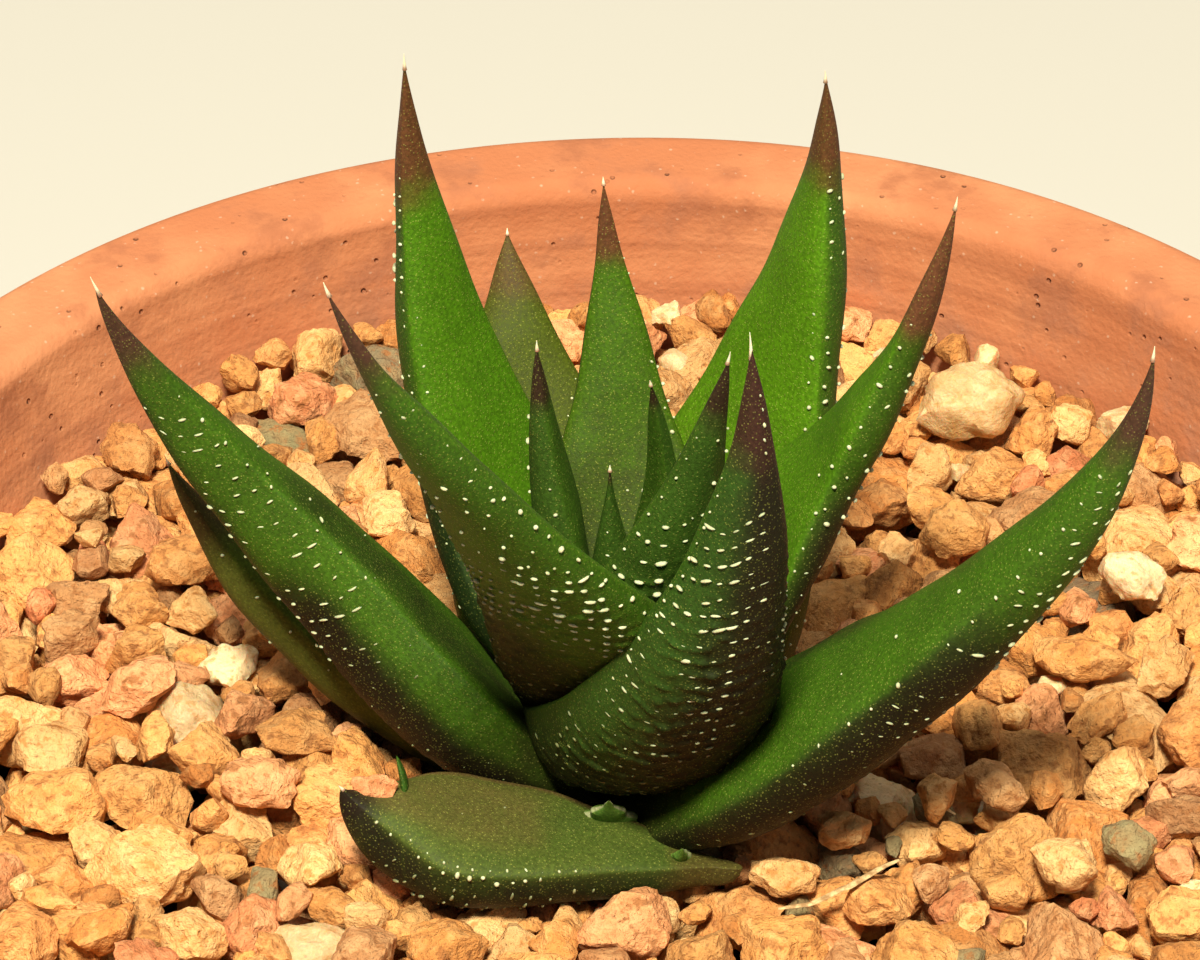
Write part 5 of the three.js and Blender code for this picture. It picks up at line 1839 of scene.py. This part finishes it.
@dataclass(frozen=True)
class Pot:
    """A plain clay pot with a raised band, and the crock over its drainage hole."""

    base_radius: float = 42.0
    top_radius: float = 57.5
    wall: float = 5.0
    floor: float = 6.0
    band_height: float = 18.0
    band_step: float = 2.5
    edge: float = 1.5
    drain: float = 6.0
    segments: int = 240
    crock_radius: float = 24.0
    crock_lift: float = 10.5
    crock_wall: float = 3.0
    crock_length: float = 27.0

    @property
    def height(self) -> float:
        """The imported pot's height, in millimetres."""
        low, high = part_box("pot")
        return (high.z - low.z) / MM

    def outer(self, z: float) -> float:
        """The radius of the tapered wall outside at a height."""
        return self.base_radius + (self.top_radius - self.base_radius) * z / self.height

    def corner(self, radius: float, z: float, start: float, stop: float, edge: float) -> Array:
        """An arc of the outline: centre + edge (cos a, sin a), with angles in degrees."""
        angle = np.radians(np.linspace(start, stop, 9))
        return np.stack([radius + edge * np.cos(angle), z + edge * np.sin(angle)], -1)

    def outline(self) -> Array:
        """The pot's section from the drainage hole round the outside and back inside."""
        top, foot, e = self.height, self.height - self.band_height, self.edge
        small = 0.6
        inner_top, inner_low = self.outer(top) - self.wall, self.outer(self.floor) - self.wall
        parts = [
            self.corner(self.drain + small, small, 180, 270, small),
            self.corner(self.base_radius - e, e, -90, 0, e),
            np.array([[self.outer(foot), foot]]),
            self.corner(self.outer(foot) + self.band_step - e, foot + e, -90, 0, e),
            self.corner(self.top_radius + self.band_step - e, top - e, 0, 90, e),
            self.corner(inner_top + e, top - e, 90, 180, e),
            np.array([[inner_low + 0.6, self.floor + 3.0], [inner_low - 0.8, self.floor + 0.8]]),
            np.array([[inner_low - 3.0, self.floor]]),
            self.corner(self.drain + small, self.floor - small, 90, 180, small),
        ]
        corners = np.concatenate(parts)
        closed = np.concatenate([corners, corners[:1]])
        length = np.concatenate([[0], np.cumsum(np.hypot(*np.diff(closed, axis=0).T))])
        extra = np.arange(0, length[-1], 1.2)
        at = np.unique(np.concatenate([length[:-1], extra]))
        return np.stack([np.interp(at, length, closed[:, k]) for k in range(2)], -1)

    def surface(self) -> Surface:
        """The outline turned about the axis, with the small unevenness of a thrown pot."""
        made = lathe(self.outline(), self.segments, True)
        x, y, z = made.points.T
        around = np.arctan2(y, x)
        wave = 0.22 * np.sin(2 * around + 0.6) + 0.12 * np.sin(5 * around + 2)
        lines = 0.05 * np.sin(z * TURN / 2.6 + 0.8 * np.sin(around))
        radius = np.hypot(x, y)
        push = (wave + lines) * ease(self.drain + 4, self.base_radius - 4, radius) * ease(0.5, 4, z)
        made.points[:, 0] += push * x / radius
        made.points[:, 1] += push * y / radius
        made.points[:, 2] -= GRAVEL_LEVEL
        return made

    def crock(self) -> Surface:
        """An arched shard: an arc of wall along Y, thick by `crock_wall`, with ragged ends."""
        centre = self.floor + self.crock_lift - self.crock_radius
        inside = self.crock_radius - self.crock_wall
        half = math.acos((self.floor + 0.3 - centre) / inside) - 0.02
        around, lengthwise = 40, 60
        angle = np.linspace(-half, half, around)
        loop = np.concatenate([angle, angle[::-1]])
        radius = np.concatenate([np.full(around, self.crock_radius - 0.1), np.full(around, inside)])
        rows = np.linspace(-1, 1, lengthwise)
        ragged = 0.9 * ripple(np.stack([loop * 20, radius, radius * 0], -1), 9.0, 21)
        reach = self.crock_length / 2 - 0.8
        y = rows[:, None] * (reach + np.clip(ragged, -1.2, 0.6)[None])
        x = np.tile(radius * np.sin(loop), (lengthwise, 1))
        z = np.tile(radius * np.cos(loop) + centre - GRAVEL_LEVEL, (lengthwise, 1))
        rings = np.stack([x, y, z], -1)
        return self.capped(rings)

    @staticmethod
    def capped(rings: Array) -> Surface:
        """Closes a bent strip's ends by quads between its outer and inner edge.

        Args:
            rings: The strip's sections, whose first half is outside and second half inside.

        Returns:
            The closed strip.
        """
        made = rings_to_surface(rings, rings[0, 0], rings[-1, 0])
        columns = rings.shape[1]
        last = (len(rings) - 1) * columns
        k = np.arange(columns // 2 - 1)
        quads = np.stack([k, k + 1, columns - 2 - k, columns - 1 - k], -1)
        flat = np.zeros((len(k), 4, 2)) + np.array([0.0, 0.999])
        made.points = made.points[: len(rings) * columns]
        made.faces = [made.faces[0], quads, (quads + last)[:, ::-1]]
        made.maps = [made.maps[0], flat, flat]
        return made

    def build(self) -> None:
        """Adds the pot and the crock, and dresses the potting mix."""
        add_piece("pot_clay", self.surface(), CLAY, ("pot",))
        add_piece("crock_shard", self.crock(), SHARD_CLAY, ("drainage_crock",), 40.0)
        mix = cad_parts["potting_mix"]
        mix.data.materials.clear()
        mix.data.materials.append(SOIL.material())


# ---------------------------------------------------------------- studio


@dataclass(frozen=True)
class Lamp:
    """A soft area light that aims at the plant."""

    name: str
    azimuth: float
    elevation: float
    distance: float
    size: float
    power: float
    colour: Colour = (1.0, 1.0, 1.0)

    def build(self, target: Vector) -> None:
        """Places the light by azimuth, 0 at the front and 90 at the right, and elevation.

        Args:
            target: The point that it faces.
        """
        a, e = math.radians(self.azimuth), math.radians(self.elevation)
        way = Vector((math.sin(a) * math.cos(e), -math.cos(a) * math.cos(e), math.sin(e)))
        data = bpy.data.lights.new(self.name, "AREA")
        data.shape = "DISK"
        data.size = self.size
        data.energy = self.power
        data.color = self.colour
        lamp = bpy.data.objects.new(self.name, data)
        lamp.location = target + way * self.distance
        lamp.rotation_euler = (-way).to_track_quat("-Z", "Y").to_euler()
        bpy.context.scene.collection.objects.link(lamp)


@dataclass(frozen=True)
class Studio:
    """The camera, the lights, the floor and the soft surroundings."""

    target: Colour = (-2.333, 9.709, 12.884)
    elevation: float = 37.0
    distance: float = 340.0
    lens: float = 153.0
    lamps: tuple[Lamp, ...] = (
        Lamp("key", -8, 62, 0.9, 0.16, 17.5, (1.0, 0.92, 0.70)),
        Lamp("fill", 60, 40, 1.1, 0.9, 0.5, (1.0, 0.93, 0.78)),
        Lamp("top", 170, 78, 1.0, 0.6, 2.6, (1.0, 0.94, 0.78)),
    )
    floor_half: float = 1.5
    ambient: float = 0.16

    def camera(self) -> None:
        """A camera that looks down at the plant from the front."""
        data = bpy.data.cameras.new("camera")
        data.lens = self.lens
        data.clip_start = 0.01
        camera = bpy.data.objects.new("camera", data)
        e = math.radians(self.elevation)
        back = Vector((0.0, -math.cos(e), math.sin(e)))
        aim = Vector(to_frame(np.array(self.target)))
        camera.location = aim + back * self.distance * MM
        camera.rotation_euler = (-back).to_track_quat("-Z", "Y").to_euler()
        bpy.context.scene.collection.objects.link(camera)
        bpy.context.scene.camera = camera

    def floor(self) -> None:
        """A large level square under the pot."""
        h = self.floor_half
        mesh = bpy.data.meshes.new("floor")
        mesh.from_pydata([(-h, -h, 0), (h, -h, 0), (h, h, 0), (-h, h, 0)], [], [(0, 1, 2, 3)])
        mesh.materials.append(FloorFinish("floor_pale").material())
        floor = bpy.data.objects.new("floor", mesh)
        bpy.context.scene.collection.objects.link(floor)

    def build(self) -> None:
        """Adds everything that isn't part of the object."""
        self.camera()
        self.floor()
        aim = Vector(to_frame(np.array(self.target)))
        for lamp in self.lamps:
            lamp.build(aim)
        world = bpy.data.worlds.new("surroundings")
        world.use_nodes = True
        sky = world.node_tree.nodes["Background"]
        sky.inputs["Color"].default_value = (1.0, 0.95, 0.84, 1.0)
        sky.inputs["Strength"].default_value = self.ambient
        bpy.context.scene.world = world
        bpy.context.scene.view_settings.view_transform = "Standard"


COARSE_BALL = dome()
BALL = ball(2)
FINE_BALL = ball(3)
LARGE_BALL = ball(4)

PERCHED = (PerchedStone("stone_on_offset_leaf", (-16.7, -14.7, 6.3), (1.7, 1.1, 1.25), Kind.ROSE, 12),)
SLIVERS = (Sliver("leaf_sliver", (-14.9, -14.2, 4.6), (-15.2, -12.9, 7.5), 1.9),)
STRAWS = (
    Straw("straw_long", ((9.0, -19.6), (13.5, -18.6), (16.8, -15.8)), 0.5),
    Straw("straw_short", ((18.8, -8.0), (20.9, -8.6)), 0.35),
)


def main() -> None:
    """Builds the studio, the pot, the plant and the gravel."""
    logging.basicConfig(level=logging.INFO, format="%(message)s")
    Studio().build()
    Pot().build()
    Crown().build()
    gravel = Gravel(np.random.default_rng(41))
    for leaf in LEAVES:
        leaf.build()
        gravel.keep_out(leaf.volume_points())
    for node, (kind, tint) in NAMED_STONES.items():
        stone = NamedStone(node, kind, tint)
        stone.build()
        middle = node_planes(node)[0]
        shell = stone.surface().points - middle
        filled = np.concatenate([middle + shell * k for k in np.linspace(0.1, 0.9, 6)])
        gravel.keep_out(filled)
    gravel.build()
    for stone in PERCHED:
        stone.build(gravel)
    for sliver in SLIVERS:
        sliver.build()
    for straw in STRAWS:
        straw.build(gravel)


if __name__ == "__main__":
    main()
